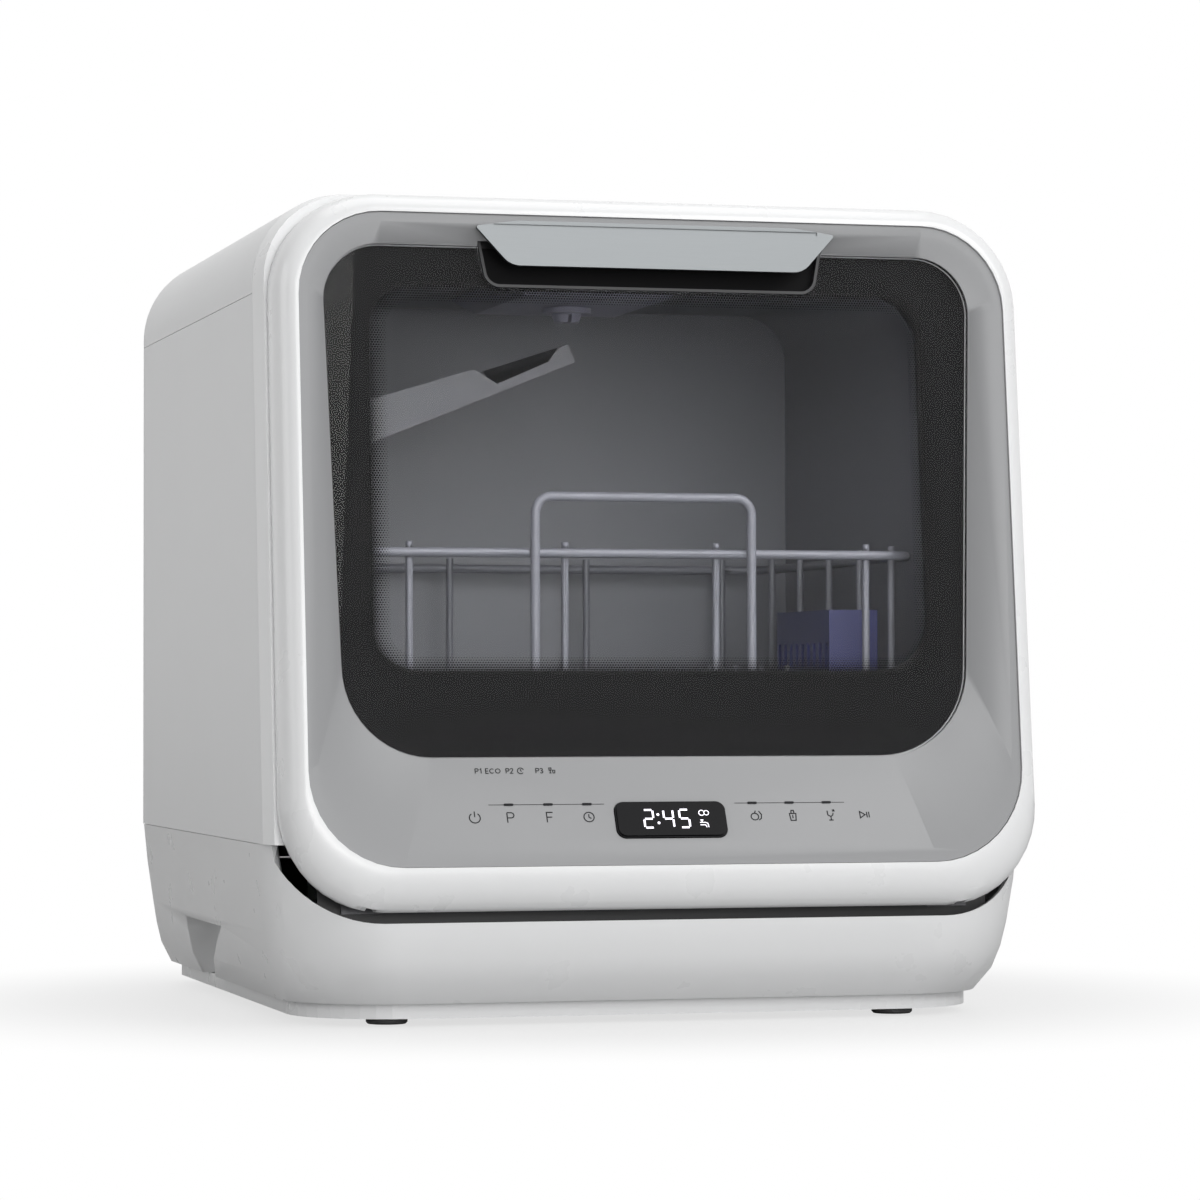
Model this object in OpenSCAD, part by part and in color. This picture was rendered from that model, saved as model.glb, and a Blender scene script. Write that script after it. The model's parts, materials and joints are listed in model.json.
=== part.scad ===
// Countertop dishwasher: a leaning glazed front door over a tapered base.
// Millimetres. X is across, Y runs from front to back, Z is up. The origin is
// on the surface that the feet stand on, under the middle of the casing.

/* [Casing] */
// Width over the side panels
body_w = 420; // [400:1:440]
// Depth from the foremost point of the door to the rear cover
body_d = 440; // [425:1:460]
// Height from the worktop to the top cover
body_h = 438; // [425:1:455]
// Thickness of the casing shells
wall = 2.5; // [2:0.1:3.5]
// Radius of the casing's upper long edges
top_r = 50; // [35:1:60]
// Height of the seam between the base housing and the side panels
low_seam_z = 95; // [92:1:97]
// Distance of the seam between the side panels and the top cover below the top
high_seam_drop = 54; // [51:1:68]
// Play between neighbouring fixed pieces
seam = 0.3; // [0.2:0.05:0.5]

/* [Base] */
// Height of the base housing's front edge under the door
chin_z = 55; // [52:1:57]
// Height of the plinth that closes the base
plinth_z = 12; // [11:1:14]
// How far the plinth stands in from the casing on each side
plinth_in = 22; // [20:1:28]
// Height of the rubber feet below the plinth
foot_h = 4; // [3:0.5:6]
// Radius of a rubber foot
foot_r = 11; // [8:0.5:14]

/* [Door] */
// Angle at which the door's front leans back
lean = 6.2; // [5:0.1:7.5]
// Distance of the rim around the grey bezel from the side panels
rim_side = 16.5; // [15:0.5:22]
// Height of the bezel rim's lower edge, along the door
rim_low = 84.5; // [82:0.5:88]
// Distance of the bezel rim's upper edge below the casing's top
rim_drop = 10.5; // [9:0.5:14]
// Thickness of the white door frame
door_t = 27; // [25:0.5:28]
// Distance of the door frame's back from the side panels
door_side = 5; // [4:0.5:7]
// Height of the door frame's lower edge, along the door
door_low = 62.6; // [62:0.1:64]
// Height of the door frame's upper edge over the casing's, along the door
door_rise = 2; // [0:0.5:3]
// Thickness of the front glass
glass_t = 4; // [3:0.5:5]
// Depth of the front glass behind the rim at its top edge
glass_top_in = 12; // [10:0.5:13]
// Depth of the front glass behind the rim at its bottom edge
glass_low_in = 21; // [17:0.5:22]
// Distance of the see-through window from the side panels
window_side = 59; // [54:1:70]
// How far the inner liner stands behind the door frame
liner_t = 11; // [9:0.5:12]

/* [Hinge] */
// Distance of the hinge axis behind the rim, on the worktop plane
hinge_back = 25; // [24:0.5:26]
// Height of the hinge axis
hinge_z = 75; // [74:0.5:76]
// Radius of the hinge pins
pin_r = 3; // [2.5:0.25:3.5]
// Running clearance of pins and axles, on the radius
run_gap = 0.06; // [0.03:0.01:0.09]

/* [Wash chamber] */
// Distance of the tub's inner walls from the side panels
tub_side = 34; // [32:1:38]
// Height of the tub's floor
tub_floor = 100; // [99:0.5:101]
// Distance of the tub's ceiling below the casing's top
tub_drop = 33; // [28:1:43]
// Position of the tub's rear wall
tub_rear = 150; // [135:1:155]
// Thickness of the tub's wall
tub_t = 3; // [2:0.5:4]
// Radius of the tub's edges
tub_r = 28; // [20:1:34]

/* [Basket] */
// Distance of the basket's wires from the tub's walls
basket_side = 22; // [20:1:26]
// Distance of the basket's front behind the rim, on the worktop plane
basket_back = 75; // [72:1:80]
// Length of the basket
basket_l = 280; // [260:5:285]
// Height of the basket's floor wires
basket_low = 139; // [137:1:142]
// Height of the basket's top rail
basket_high = 248; // [235:1:252]
// Height of the front wire handle
handle_wire_z = 278; // [268:1:285]
// Diameter of the rail wires
rail_d = 5; // [4:0.5:6]
// Diameter of the upright and floor wires
wire_d = 4; // [3:0.5:4.5]
// Radius of a basket roller
roller_r = 9; // [8:0.5:10]
// Width of a basket roller
roller_w = 7; // [6:0.5:8]

/* [Spray arm] */
// Length of one wing of the spray arm
arm_l = 138; // [120:1:145]
// Height of the spray arm above the tub's floor
arm_lift = 13; // [12:0.5:15]
// Radius of the spray arm's hub
hub_r = 20; // [17:0.5:24]

/* [Cup shelf] */
// Length of the shelf from its hinge to its free edge
shelf_l = 150; // [130:1:152]
// Depth of the shelf from front to back
shelf_d = 190; // [150:5:200]
// Upward slope of the resting shelf
shelf_slope = 22; // [18:1:24]
// Distance of the shelf's hinge below the tub's ceiling
shelf_drop = 107; // [101:1:113]

/* [Hidden] */

$fn = 48;
// Corner steps of the moulded shells, per quarter turn
corner_n = 10;
// Thickness of the slices that a moulded shell is lofted through
slice = 0.02;
// A cut runs this far past the surface that it opens
over = 1;

half_w = body_w / 2;
rear_y = body_d / 2;
high_seam_z = body_h - high_seam_drop;
rim_hw = half_w - rim_side;
rim_high = body_h - rim_drop;
door_hw = half_w - door_side;
door_high = body_h + door_rise;
window_hw = half_w - window_side;
tub_hw = half_w - tub_side;
tub_top = body_h - tub_drop;
basket_hw = tub_hw - basket_side;
shelf_z = tub_top - shelf_drop;

// Bulge of the door frame: depth behind the rim and the share of the way
// from the rim to the outer edge that its outline has reached there
frame_steps = [[0, 0.06], [0.5, 0.24], [2, 0.46], [5, 0.68], [9.5, 0.85], [15, 0.955], [21, 1], [27, 1]];
// The lower edge is reached earlier and tucks under again towards the hinge
low_steps = [0.06, 0.3, 0.55, 0.8, 0.95, 1, 0.97, 0.86];

function step_low(i) = rim_low + (door_low - rim_low) * low_steps[i];
function step_y(i) = step_low(i) * sin(lean) + step_depth(i) * cos(lean);
function step_depth(i) = frame_steps[i][0] * door_t / 27;
// Place of the rim plane on the worktop, which puts the door's foremost point at half the depth
plane_y = -rear_y - min([for (i = [0:len(frame_steps) - 1]) step_y(i)]);

// Radii of the door's corners
rim_low_r = 50;
rim_high_r = 45;
door_low_r = 52;
door_high_r = 54;

// Layers of the front, measured behind the rim plane
frame_gap = 0.6;
casing_in = 42;
flange_in = door_t + 9;
ring_in = door_t + frame_gap;
chin_in = casing_in + 2;
liner_in = door_t + liner_t;

basket_y = plane_y + basket_back;

// Front glass: it leans a little less than the door
glass_low = 143;
glass_high = rim_high - 15;
glass_low_hw = rim_hw - 22.5;
glass_high_hw = rim_hw - 15.8;
glass_low_r = 48;
glass_high_r = 30;
glass_turn = atan((glass_low_in - glass_top_in) / (glass_high - glass_low));
window_low = 194;
window_high = body_h - 45;
window_r = 24;

// Sloping control panel between the glass and the rim
lip_w = 4;
lip_in = 1.4;
panel_drop = glass_low - rim_low - lip_w;
panel_turn = atan(glass_low_in / panel_drop);
board_hw = rim_hw - 61.5;
board_t = 1.6;
display_hw = 30;
display_half_h = 10.3;
display_drop = 36.9;

// Grip of the door
grip_top_hw = 98;
grip_low_hw = 86;
grip_low = rim_high - 27.5;
grip_high = rim_high - 6.5;
pocket_low = rim_high - 36.5;
pocket_t = 9;

// Shape of the base: share of its height, of its side taper and of its front slope
base_rows = [[0, 1, 1], [0.145, 0.637, 0.49], [0.289, 0.464, 0.234], [0.446, 0.34, 0.085],
             [0.59, 0.25, 0.02], [0.735, 0.13, 0], [1, 0, 0]];
base_in = 16.8;
base_wall = 3;
chin_y = plane_y + 19.5;
chin_slope = 23.5;
chin_r = 58;
plinth_y = chin_y + chin_slope + 5;
grip_in = 24;
grip_front = -17;
grip_rear = 100;
grip_top = 45;
foot_x = half_w - 70;
foot_places = [for (x = [-1, 1], y = [plane_y + 74, rear_y - 36]) [x * foot_x, y]];

// Front frame of the casing
casing_high = (body_h + casing_in * sin(lean)) / cos(lean);
frame_hole_hw = tub_hw + 10.5;
frame_hole_high = body_h - 15.5;
frame_lap = 10;
leg_gap = 3;
frame_wall = 3;

// Hinge axis in the door's own axes
hinge_in = hinge_back * cos(lean) - hinge_z * sin(lean);
hinge_h = hinge_back * sin(lean) + hinge_z * cos(lean);
hinge_x = door_hw - 45;
boss_r = 5.5;
ear_t = 4;
arm_t = 2.5;
arm_room = 7.5;
pin_hl = 8;
bracket_hw = 11;
kick_in = flange_in + 1;
kick_hw = half_w - 27;
strip_hw = kick_hw - 45;

// Openings on the back
fill_x = 78 - half_w;
fill_z = body_h - 46;
fill_r = 17;
valve_x = half_w - 90;
valve_z = 62;
valve_r = 13.2;
spigot_x = half_w - 150;
spigot_r = 9.5;
recess_gap = 6;
recess_d = 12;
inlet_x = 80 - half_w;
inlet_hw = 16;
inlet_hh = 12;

// Mouth of the tub, measured up the leaning front
mouth_low = (tub_floor + flange_in * sin(lean)) / cos(lean);
mouth_high = (tub_top + flange_in * sin(lean)) / cos(lean);
tub_lip_low = mouth_low - 11;
seal_w = 8;

// Detergent cup on the liner
cup_x = window_hw - 56;
cup_h = 148;

// Latch above the tub's mouth
tongue_h = rim_high - 3.5;
latch_low = tongue_h - 3.5;
lever_in = ring_in + 25;
lever_h = tongue_h + 9;

// Spray system
arm_y = -12;
arm_z = tub_floor + arm_lift;
sump_x = 92;
sump_y = -92;
sump_r = 40;
filter_r = 24;
nozzle_y = plane_y + 236;
unit_hw = 42;

arm_turn = 20;
post_r = 8;
sump_low = 42;
pump_x = -8;
pump_z = 46;
motor_r = 27;
motor_l = 44;
volute_l = 24;
heater_x = 90 - half_w;
heater_y = -60;
heater_z = 44;
heater_r = 17;
heater_l = 110;
drain_y = -30;
drain_z = 34;
drain_r = 19;
drain_l = 60;
power_w = 100;
power_d = 80;
power_y = 96;
hose_top = tub_floor - 30 - seam;
hose_run = 30;
tank_hw = half_w - 45;
tank_low = 112;
tank_d = rear_y - tub_rear - tub_t - 2 - wall - seam - 3;
screw_places = [for (x = [-1, 1], y = [-140, 20, 170]) [x * (half_w - 110), y]];

// Basket, its rollers and their rails
rail_floor = basket_low - 11.4;
roller_z = rail_floor + roller_r + seam;
roller_x = basket_hw + 6;
roller_front_y = basket_y + 118;
roller_rear_y = basket_y + basket_l - 18;
axle_r = 2.5;
upright_x = [for (side = [-1, 1], in = [112, 27]) side * (basket_hw - in)];

// Prongs for plates, and the cutlery basket beside them
rack_pitch = 15;
rack_h = 46;
rack_y = [basket_y + 70, basket_y + 190];
cutlery_x = basket_hw - 36;
rack_x0 = cutlery_x - 114;
cutlery_y = basket_y + 40;
cutlery_w = 28;
cutlery_l = 96;
cutlery_h = 78;

// Shelf for cups
shelf_x = -tub_hw + 8;
shelf_y = plane_y + 108;

// Points of an upright outline with round corners, counter-clockwise from its lower right
function arc(cx, cy, r, a0, a1, n) = [for (i = [0:n]) [cx + r * cos(a0 + (a1 - a0) * i / n), cy + r * sin(a0 + (a1 - a0) * i / n)]];
function outline(hw, low, high, r_low, r_high, n = corner_n) = concat(
    arc(hw - r_low, low + r_low, r_low, -90, 0, n),
    arc(hw - r_high, high - r_high, r_high, 0, 90, n),
    arc(-hw + r_high, high - r_high, r_high, 90, 180, n),
    arc(-hw + r_low, low + r_low, r_low, 180, 270, n));
function shrink(r, by) = max(r - by, 0.6);
function plan(hw, y0, y1, rf, rr) = concat(
    arc(hw - rf, y0 + rf, rf, -90, 0, corner_n),
    arc(hw - rr, y1 - rr, rr, 0, 90, 4),
    arc(-hw + rr, y1 - rr, rr, 90, 180, 4),
    arc(-hw + rf, y0 + rf, rf, 180, 270, corner_n));

// Moves children to the hinge axis of one side, in the door's own axes
module on_hinge(side) {
    on_front()
        translate([side * hinge_x, hinge_in, hinge_h])
            children();
}

// Moves children to the back face, with Z pointing into the casing
module on_rear(x, z) {
    translate([x, rear_y, z])
        rotate([90, 0, 0])
            children();
}

// Moves children from the door's own axes, in which Y is the depth behind the rim
module on_front() {
    translate([0, plane_y, 0])
        rotate([-lean, 0, 0])
            children();
}

// Moves children to the face of the front glass, with its top edge at the origin
module on_glass() {
    translate([0, glass_top_in, glass_high])
        rotate([glass_turn, 0, 0])
            children();
}

// Moves children to the face of the control panel, with its top edge at the origin
module on_panel() {
    translate([0, glass_low_in, glass_low])
        rotate([-panel_turn, 0, 0])
            children();
}

// Extrudes an upright profile from depth y0 to depth y1
module upright(y0, y1) {
    translate([0, y1, 0])
        rotate([90, 0, 0])
            linear_extrude(y1 - y0)
                children();
}

// Space behind a plane that leans with the door
module behind(depth) {
    on_front()
        translate([-body_w, depth, -body_h])
            cube([2 * body_w, 2 * body_d, 3 * body_h]);
}

// Outline of the casing from the front, moved in by a wall
module casing_outline(by = 0) {
    polygon(outline(half_w - by, -50, body_h - by, 2, shrink(top_r, by), 24));
}

// Horizontal box between two corners
module block(low, high) {
    translate(low)
        cube(high - low);
}

// Shells of the casing

module casing_shell() {
    intersection() {
        difference() {
            upright(-rear_y, rear_y - wall - seam)
                casing_outline();
            upright(-rear_y - over, rear_y + over)
                casing_outline(wall);
        }
        behind(casing_in + seam);
    }
}

// Turned-in lip along the lower edge of a shell, which hides the seam
module seam_tongue(side, z) {
    intersection() {
        block([side * (half_w - wall - 3) - 3, -rear_y, z - 6], [side * (half_w - wall - 3) + 2.9, rear_y - wall - 3, z + 6]);
        behind(casing_in + 4);
        difference() {
            upright(-rear_y, rear_y)
                casing_outline(wall + 0.1);
            upright(-rear_y - over, rear_y + over)
                casing_outline(wall + 2);
        }
    }
}

module top_cover() {
    color("#e4e5e6")
    intersection() {
        casing_shell();
        block([-body_w, -body_d, high_seam_z], [body_w, body_d, body_h + over]);
    }
}

module side_panel(side) {
    intersection() {
        casing_shell();
        block([min(0, side * body_w), -body_d, low_seam_z + seam], [max(0, side * body_w), body_d, high_seam_z - seam]);
    }
    seam_tongue(side, high_seam_z);
}

module left_side_panel() {
    color("#dcdddd")
        side_panel(-1);
}

module right_side_panel() {
    color("#dcdddd")
        side_panel(1);
}

// Slot with round ends
module slot_outline(w, h) {
    r = min(w, h) / 2 - 0.05;
    polygon(outline(w / 2, -h / 2, h / 2, r, r, 4));
}

// Slots that let warm air out of the rear cover
module vent_slots(count, pitch, slot_w, slot_h) {
    for (i = [0:count - 1])
        translate([(i - (count - 1) / 2) * pitch, 0, 0])
            upright(-over, 2 * wall + over)
                slot_outline(slot_w, slot_h);
}

module rear_cover() {
    color("#d5d6d7")
    difference() {
        intersection() {
            upright(rear_y - wall, rear_y)
                casing_outline();
            block([-body_w, 0, low_seam_z + seam], [body_w, body_d, body_h + over]);
        }
        translate([0, rear_y - 2 * wall, tub_top - 30])
            vent_slots(9, 14, 5, 21);
        translate([0, rear_y - 2 * wall, low_seam_z + 26])
            vent_slots(9, 14, 5, 21);
        on_rear(fill_x, fill_z)
            cylinder(r = fill_r + seam, h = 4 * wall, center = true);
    }
}

// Ring at the casing's front, from the door's back edge out to the shells
module front_frame() {
    color("#dfe0e1")
    difference() {
        hull() {
            front_ring_slice(ring_in, half_w - door_hw - 1.5);
            front_ring_slice(casing_in - slice, 0);
        }
        on_front()
            upright(0, ring_in + wall + 3)
                polygon(outline(frame_hole_hw, 0, frame_hole_high, 20, tub_r + frame_lap));
        on_front()
            upright(ring_in + wall + 0.5, casing_in + over)
                polygon(outline(half_w - 5.5, 0, casing_high - 5.5, 20, top_r - 5.5));
        on_front()
            latch_slot(8, 3, 0, casing_in);
        block([-body_w, -body_d, -over], [body_w, body_d, low_seam_z + leg_gap]);
    }
}

module front_ring_slice(depth, by) {
    on_front()
        upright(depth, depth + slice)
            polygon(outline(half_w - by, 20, casing_high - by, 8, top_r - by));
}

// Base housing

module base_slice(i, by) {
    row = base_rows[i];
    translate([0, 0, plinth_z + row[0] * (low_seam_z - plinth_z) - (i == 0 && by > 0 ? over : 0)])
        linear_extrude(slice)
            polygon(plan(half_w - base_in * row[1] - by, chin_y + chin_slope * row[2] + by, rear_y - by, chin_r - by, 3));
}

module base_form(by) {
    hull()
        for (i = [0:len(base_rows) - 1])
            base_slice(i, by);
}

// Scoop in the base's side, for lifting; grow adds the wall around it
module grip_scoop(side, grow) {
    hull() {
        grip_slice(side, grip_front, grip_rear, grip_top + grow, grow);
        grip_slice(side, (grip_front + grip_rear) / 2 + 20, grip_rear + 4, plinth_z - grow / 2, grow);
    }
}

module grip_slice(side, y0, y1, z, grow) {
    x = side * (half_w - grip_in);
    translate([0, 0, z - slice])
        linear_extrude(slice)
            polygon(side > 0
                ? [[x - grow, y0 - grow], [x + body_w, y0 - grow], [x + body_w, y1 + grow], [x - grow, y1 + grow]]
                : [[x + grow, y1 + grow], [x - body_w, y1 + grow], [x - body_w, y0 - grow], [x + grow, y0 - grow]]);
}

// Room in front of the base that the door's lower edge swings through
module door_room() {
    on_front()
        upright(-body_d, chin_in)
            polygon(outline(door_hw + 3, (chin_z + 15 * sin(lean)) / cos(lean), 2 * body_h, door_low_r + 4, 10, 16));
}

module base_housing() {
    color("#dcdddd")
    difference() {
        base_form(0);
        difference() {
            base_form(base_wall);
            for (side = [-1, 1])
                grip_scoop(side, base_wall);
        }
        door_room();
        for (side = [-1, 1])
            grip_scoop(side, 0);
        on_rear(valve_x, valve_z)
            cylinder(r = valve_r + recess_gap, h = 4 * base_wall, center = true);
        on_rear(spigot_x, valve_z)
            cylinder(r = spigot_r + recess_gap, h = 4 * base_wall, center = true);
        block([inlet_x - inlet_hw - seam, rear_y - 6, valve_z - inlet_hh - seam],
              [inlet_x + inlet_hw + seam, rear_y + over, valve_z + inlet_hh + seam]);
    }
}

// Plinth tray that closes the base from below
module base_pan() {
    color("#d2d3d4")
    difference() {
        translate([0, 0, foot_h])
            linear_extrude(plinth_z - foot_h - seam)
                polygon(plan(half_w - plinth_in, plinth_y, rear_y - 4, chin_r - 4, 6));
        translate([0, 0, foot_h + wall])
            linear_extrude(plinth_z)
                polygon(plan(half_w - plinth_in - wall, plinth_y + wall, rear_y - 4 - wall, chin_r - 4 - wall, 4));
        for (x = [-1, 1], y = [0:4])
            translate([x * 70, 20 + y * 14, 0])
                linear_extrude(plinth_z)
                    slot_outline(49, 5);
        for (p = foot_places)
            translate([p[0], p[1], 0])
                cylinder(r = 2.1, h = plinth_z);
    }
}

// Rubber feet with a screw recess, one under each corner
module feet() {
    color("#3a3b3d")
    for (p = foot_places)
        translate([p[0], p[1], 0])
            difference() {
                union() {
                    cylinder(r1 = foot_r - 1, r2 = foot_r, h = 1);
                    translate([0, 0, 1])
                        cylinder(r = foot_r, h = foot_h - 1);
                    translate([0, 0, foot_h])
                        cylinder(r = 2, h = wall + 3);
                }
                translate([0, 0, -over])
                    cylinder(r = 4, h = over + 2);
            }
}

// Dark strip that shows in the gap under the door
module drip_strip() {
    y0 = chin_y + base_wall + 0.1 * chin_slope + seam;
    y1 = plane_y + (kick_in - seam) / cos(lean) + chin_z * tan(lean) - 0.6;
    color("#303133")
    translate([-strip_hw, 0, 0])
        rotate([90, 0, 90])
            linear_extrude(2 * strip_hw)
                polygon([[y0, chin_z - 6], [y0 + 2, chin_z - 6], [y0 + 2, chin_z - 3.5], [y1, chin_z - 5],
                         [y1, chin_z - 2.4], [y0 - 0.75, chin_z - 0.8], [y0 - 0.75, chin_z - 2.5], [y0, chin_z - 3]]);
}

// Upright panel behind the door's lower edge
module kick_panel() {
    color("#232426")
    on_front()
        upright(kick_in, kick_in + 2)
            polygon(outline(kick_hw, chin_z - 12, tub_lip_low - seam, 12, 2));
}

// Hinges: an ear on the casing between two ears in the door

module hinge_bracket(side) {
    on_hinge(side)
        difference() {
            union() {
                rotate([0, 90, 0])
                    cylinder(r = boss_r, h = ear_t, center = true);
                translate([-ear_t / 2, 0, -boss_r])
                    cube([ear_t, kick_in - hinge_in - seam, 2 * boss_r]);
                translate([-bracket_hw, kick_in - hinge_in - seam - 2, -14])
                    cube([2 * bracket_hw, 2, 24]);
            }
            rotate([0, 90, 0])
                cylinder(r = pin_r + run_gap, h = 2 * ear_t, center = true);
        }
}

module hinge_bracket_left() {
    color("#8f9296")
        hinge_bracket(-1);
}

module hinge_bracket_right() {
    color("#8f9296")
        hinge_bracket(1);
}

module hinge_pin(side) {
    on_hinge(side)
        rotate([0, 90, 0])
            union() {
                cylinder(r = pin_r, h = 2 * pin_hl, center = true);
                translate([0, 0, side * pin_hl - 1])
                    cylinder(r = pin_r + 1.5, h = 2);
            }
}

module hinge_pin_left() {
    color("#b9bcc0")
        hinge_pin(-1);
}

module hinge_pin_right() {
    color("#b9bcc0")
        hinge_pin(1);
}

// Two ears and a web inside the door frame's hollow lower bar
module hinge_arm(side) {
    ear_x = ear_t / 2 + 0.5;
    on_hinge(side)
        difference() {
            union() {
                for (s = [-1, 1])
                    translate([s * (ear_x + arm_t / 2), 0, 0]) {
                        rotate([0, 90, 0])
                            cylinder(r = boss_r, h = arm_t, center = true);
                        translate([-arm_t / 2, -hinge_in + frame_wall + 1.2, -boss_r])
                            cube([arm_t, hinge_in - frame_wall - 1.2, 2 * boss_r]);
                    }
                translate([-ear_x - arm_t, -hinge_in + frame_wall + 1.2, -boss_r])
                    cube([2 * (ear_x + arm_t), 2, 2 * boss_r]);
            }
            rotate([0, 90, 0])
                cylinder(r = pin_r + 0.03, h = 60, center = true);
        }
}

module hinge_arm_left() {
    color("#8f9296")
        hinge_arm(-1);
}

module hinge_arm_right() {
    color("#8f9296")
        hinge_arm(1);
}

// Door

module door_bulge(by) {
    for (i = [0:len(frame_steps) - 1]) {
        grown = frame_steps[i][1];
        step_high = rim_high + (door_high - rim_high) * grown;
        step_hw = rim_hw + (door_hw - rim_hw) * grown;
        upright(step_depth(i), step_depth(i) + slice)
            polygon(outline(step_hw - by, step_low(i) + by, step_high - by,
                            rim_low_r + (door_low_r - rim_low_r) * grown - by,
                            rim_high_r + (door_high_r - rim_high_r) * grown - by));
    }
}

module rim_outline(by = 0, n = corner_n) {
    polygon(outline(rim_hw - by, rim_low + by, rim_high - by, rim_low_r - by, rim_high_r - by, n));
}

// White ring with a rounded face, hollow from behind
module door_frame() {
    color("#f0f1f1")
    on_front()
        difference() {
            hull()
                door_bulge(0);
            upright(-over, door_t + over)
                rim_outline();
            difference() {
                translate([0, frame_wall, 0])
                    hull()
                        door_bulge(frame_wall);
                upright(-over, door_t + over)
                    rim_outline(-frame_wall);
            }
            for (side = [-1, 1])
                translate([side * hinge_x, hinge_in, hinge_h]) {
                    translate([-arm_room, -hinge_in + frame_wall + 0.8, -boss_r - 0.6])
                        cube([2 * arm_room, 2 * door_t, 2 * boss_r + 3]);
                    translate([-ear_t / 2 - 0.8, -boss_r - 1, -door_t])
                        cube([ear_t + 1.6, 2 * door_t, door_t]);
                }
        }
}

// Outline of the front glass on its own plane, from its top edge down
module glass_outline(by = 0) {
    glass_l = (glass_high - glass_low) / cos(glass_turn);
    hull()
        for (side = [-1, 1]) {
            translate([side * (glass_high_hw - glass_high_r), -glass_high_r])
                circle(glass_high_r - by);
            translate([side * (glass_low_hw - glass_low_r), -glass_l + glass_low_r])
                circle(glass_low_r - by);
        }
}

// Outline of the tray behind the grip, on the plane of the glass
module pocket_outline(by = 0) {
    low = glass_high - pocket_low;
    hull()
        for (side = [-1, 1]) {
            translate([side * (grip_low_hw - 3), -low + 9])
                circle(9 - by);
            translate([side * (grip_top_hw - 6), 3])
                circle(3 - by);
        }
}

// Grey moulded surround that slopes from the rim to the glass and carries the controls
module door_bezel() {
    color("#9b9da0")
    on_front()
        difference() {
            upright(lip_in, door_t)
                rim_outline(seam);
            hull() {
                upright(-slice, 0)
                    rim_outline(lip_w);
                on_glass()
                    upright(-slice, 0)
                        glass_outline(-2 * seam);
            }
            on_glass() {
                upright(-over, glass_t + seam)
                    glass_outline(-seam);
                upright(-over, 2 * door_t)
                    glass_outline(7);
                upright(-2, pocket_t + seam)
                    pocket_outline(-seam);
            }
            on_panel() {
                upright(-3, 2 * door_t)
                    display_outline(-seam);
                translate([-board_hw - 8, frame_wall, -panel_drop + 8])
                    cube([2 * board_hw + 16, 2 * door_t, panel_drop - 14]);
            }
            handle_root(seam);
            latch_slot(8, 0.2, door_t - 9, door_t + over);
        }
}

module display_outline(by = 0) {
    translate([0, -display_drop])
        hull()
            for (x = [-1, 1], y = [-1, 1])
                translate([x * (display_hw - 5), y * (display_half_h - 5)])
                    circle(5 - by);
}

module door_glass() {
    color("#1d1d1e")
    on_front()
        on_glass()
            upright(0, glass_t)
                difference() {
                    glass_outline();
                    pocket_outline(-seam);
                }
}

// Inner pane of the double window
module window_pane() {
    color("#6f7377")
    on_front()
        upright(liner_in - 2.5 - seam - 3, liner_in - 2.5 - seam)
            polygon(outline(window_hw + 6, window_low - 6, window_high + 6, window_r, window_r));
}

// Liner on the inside of the door, a pan with a flange that meets the seal
module door_liner() {
    color("#6d7074")
    on_front()
        difference() {
            union() {
                upright(door_t + seam, door_t + 2.5)
                    polygon(outline(tub_hw + seal_w, mouth_low - seal_w, mouth_high + seal_w, tub_r + seal_w, tub_r + seal_w));
                upright(door_t + seam, liner_in)
                    polygon(outline(tub_hw - 7, mouth_low + 6, mouth_high - 6, tub_r, tub_r));
            }
            upright(0, liner_in - 2.5)
                polygon(outline(tub_hw - 9.5, mouth_low + 8.5, mouth_high - 8.5, tub_r - 2.5, tub_r - 2.5));
            upright(0, 2 * liner_in)
                polygon(outline(window_hw - 2, window_low + 2, window_high - 2, window_r, window_r));
            upright(0, 2 * liner_in)
                cup_outline(-seam);
        }
}

module cup_outline(by = 0) {
    translate([cup_x, cup_h])
        hull()
            for (x = [-1, 1], y = [-1, 1])
                translate([x * 24, y * 16])
                    circle(6 - by);
}

// Open cup for detergent, let into the liner
module detergent_cup() {
    color("#85888c")
    on_front()
        difference() {
            union() {
                upright(door_t + seam, liner_in + 0.5)
                    cup_outline();
                upright(liner_in + seam, liner_in + 1.5)
                    cup_outline(-3);
            }
            upright(door_t + seam + 1.5, 2 * liner_in)
                cup_outline(1.5);
        }
}

module grip_outline() {
    low_r = 12;
    hull() {
        for (side = [-1, 1]) {
            translate([side * (grip_low_hw + 1 - low_r), grip_low + low_r])
                circle(low_r);
            translate([side * (grip_top_hw - 1), grip_high - 1])
                circle(1, $fn = 16);
        }
    }
}

// Root of the grip, let into the bezel; grow is the clearance round it
module handle_root(grow = 0) {
    translate([-grip_low_hw + 4 - grow, 1, grip_high - 5 - grow])
        cube([2 * (grip_low_hw - 4 + grow), 10 + grow, 3 + 2 * grow]);
}

// Metal grip that stands in front of the pocket
module handle_plate() {
    color("#aeb4b7")
    on_front() {
        difference() {
            upright(-1.2, 1.3)
                grip_outline();
            translate([-grip_top_hw + 9, -1.2 - over, grip_high - 1])
                cube([2 * (grip_top_hw - 9), over + 1, 2]);
        }
        handle_root();
    }
}

// Dark tray that leaves room for the fingers
module handle_pocket() {
    color("#141415")
    on_front()
        difference() {
            on_glass()
                difference() {
                    upright(-0.4, pocket_t)
                        pocket_outline();
                    upright(-over, pocket_t - 1.5)
                        pocket_outline(1.5);
                }
            handle_root(seam);
        }
}

module display_window() {
    color("#101012")
    on_front()
        on_panel() {
            upright(-0.8, 3)
                display_outline();
            upright(-1.6, -0.8)
                display_outline(0.8);
        }
}

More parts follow.
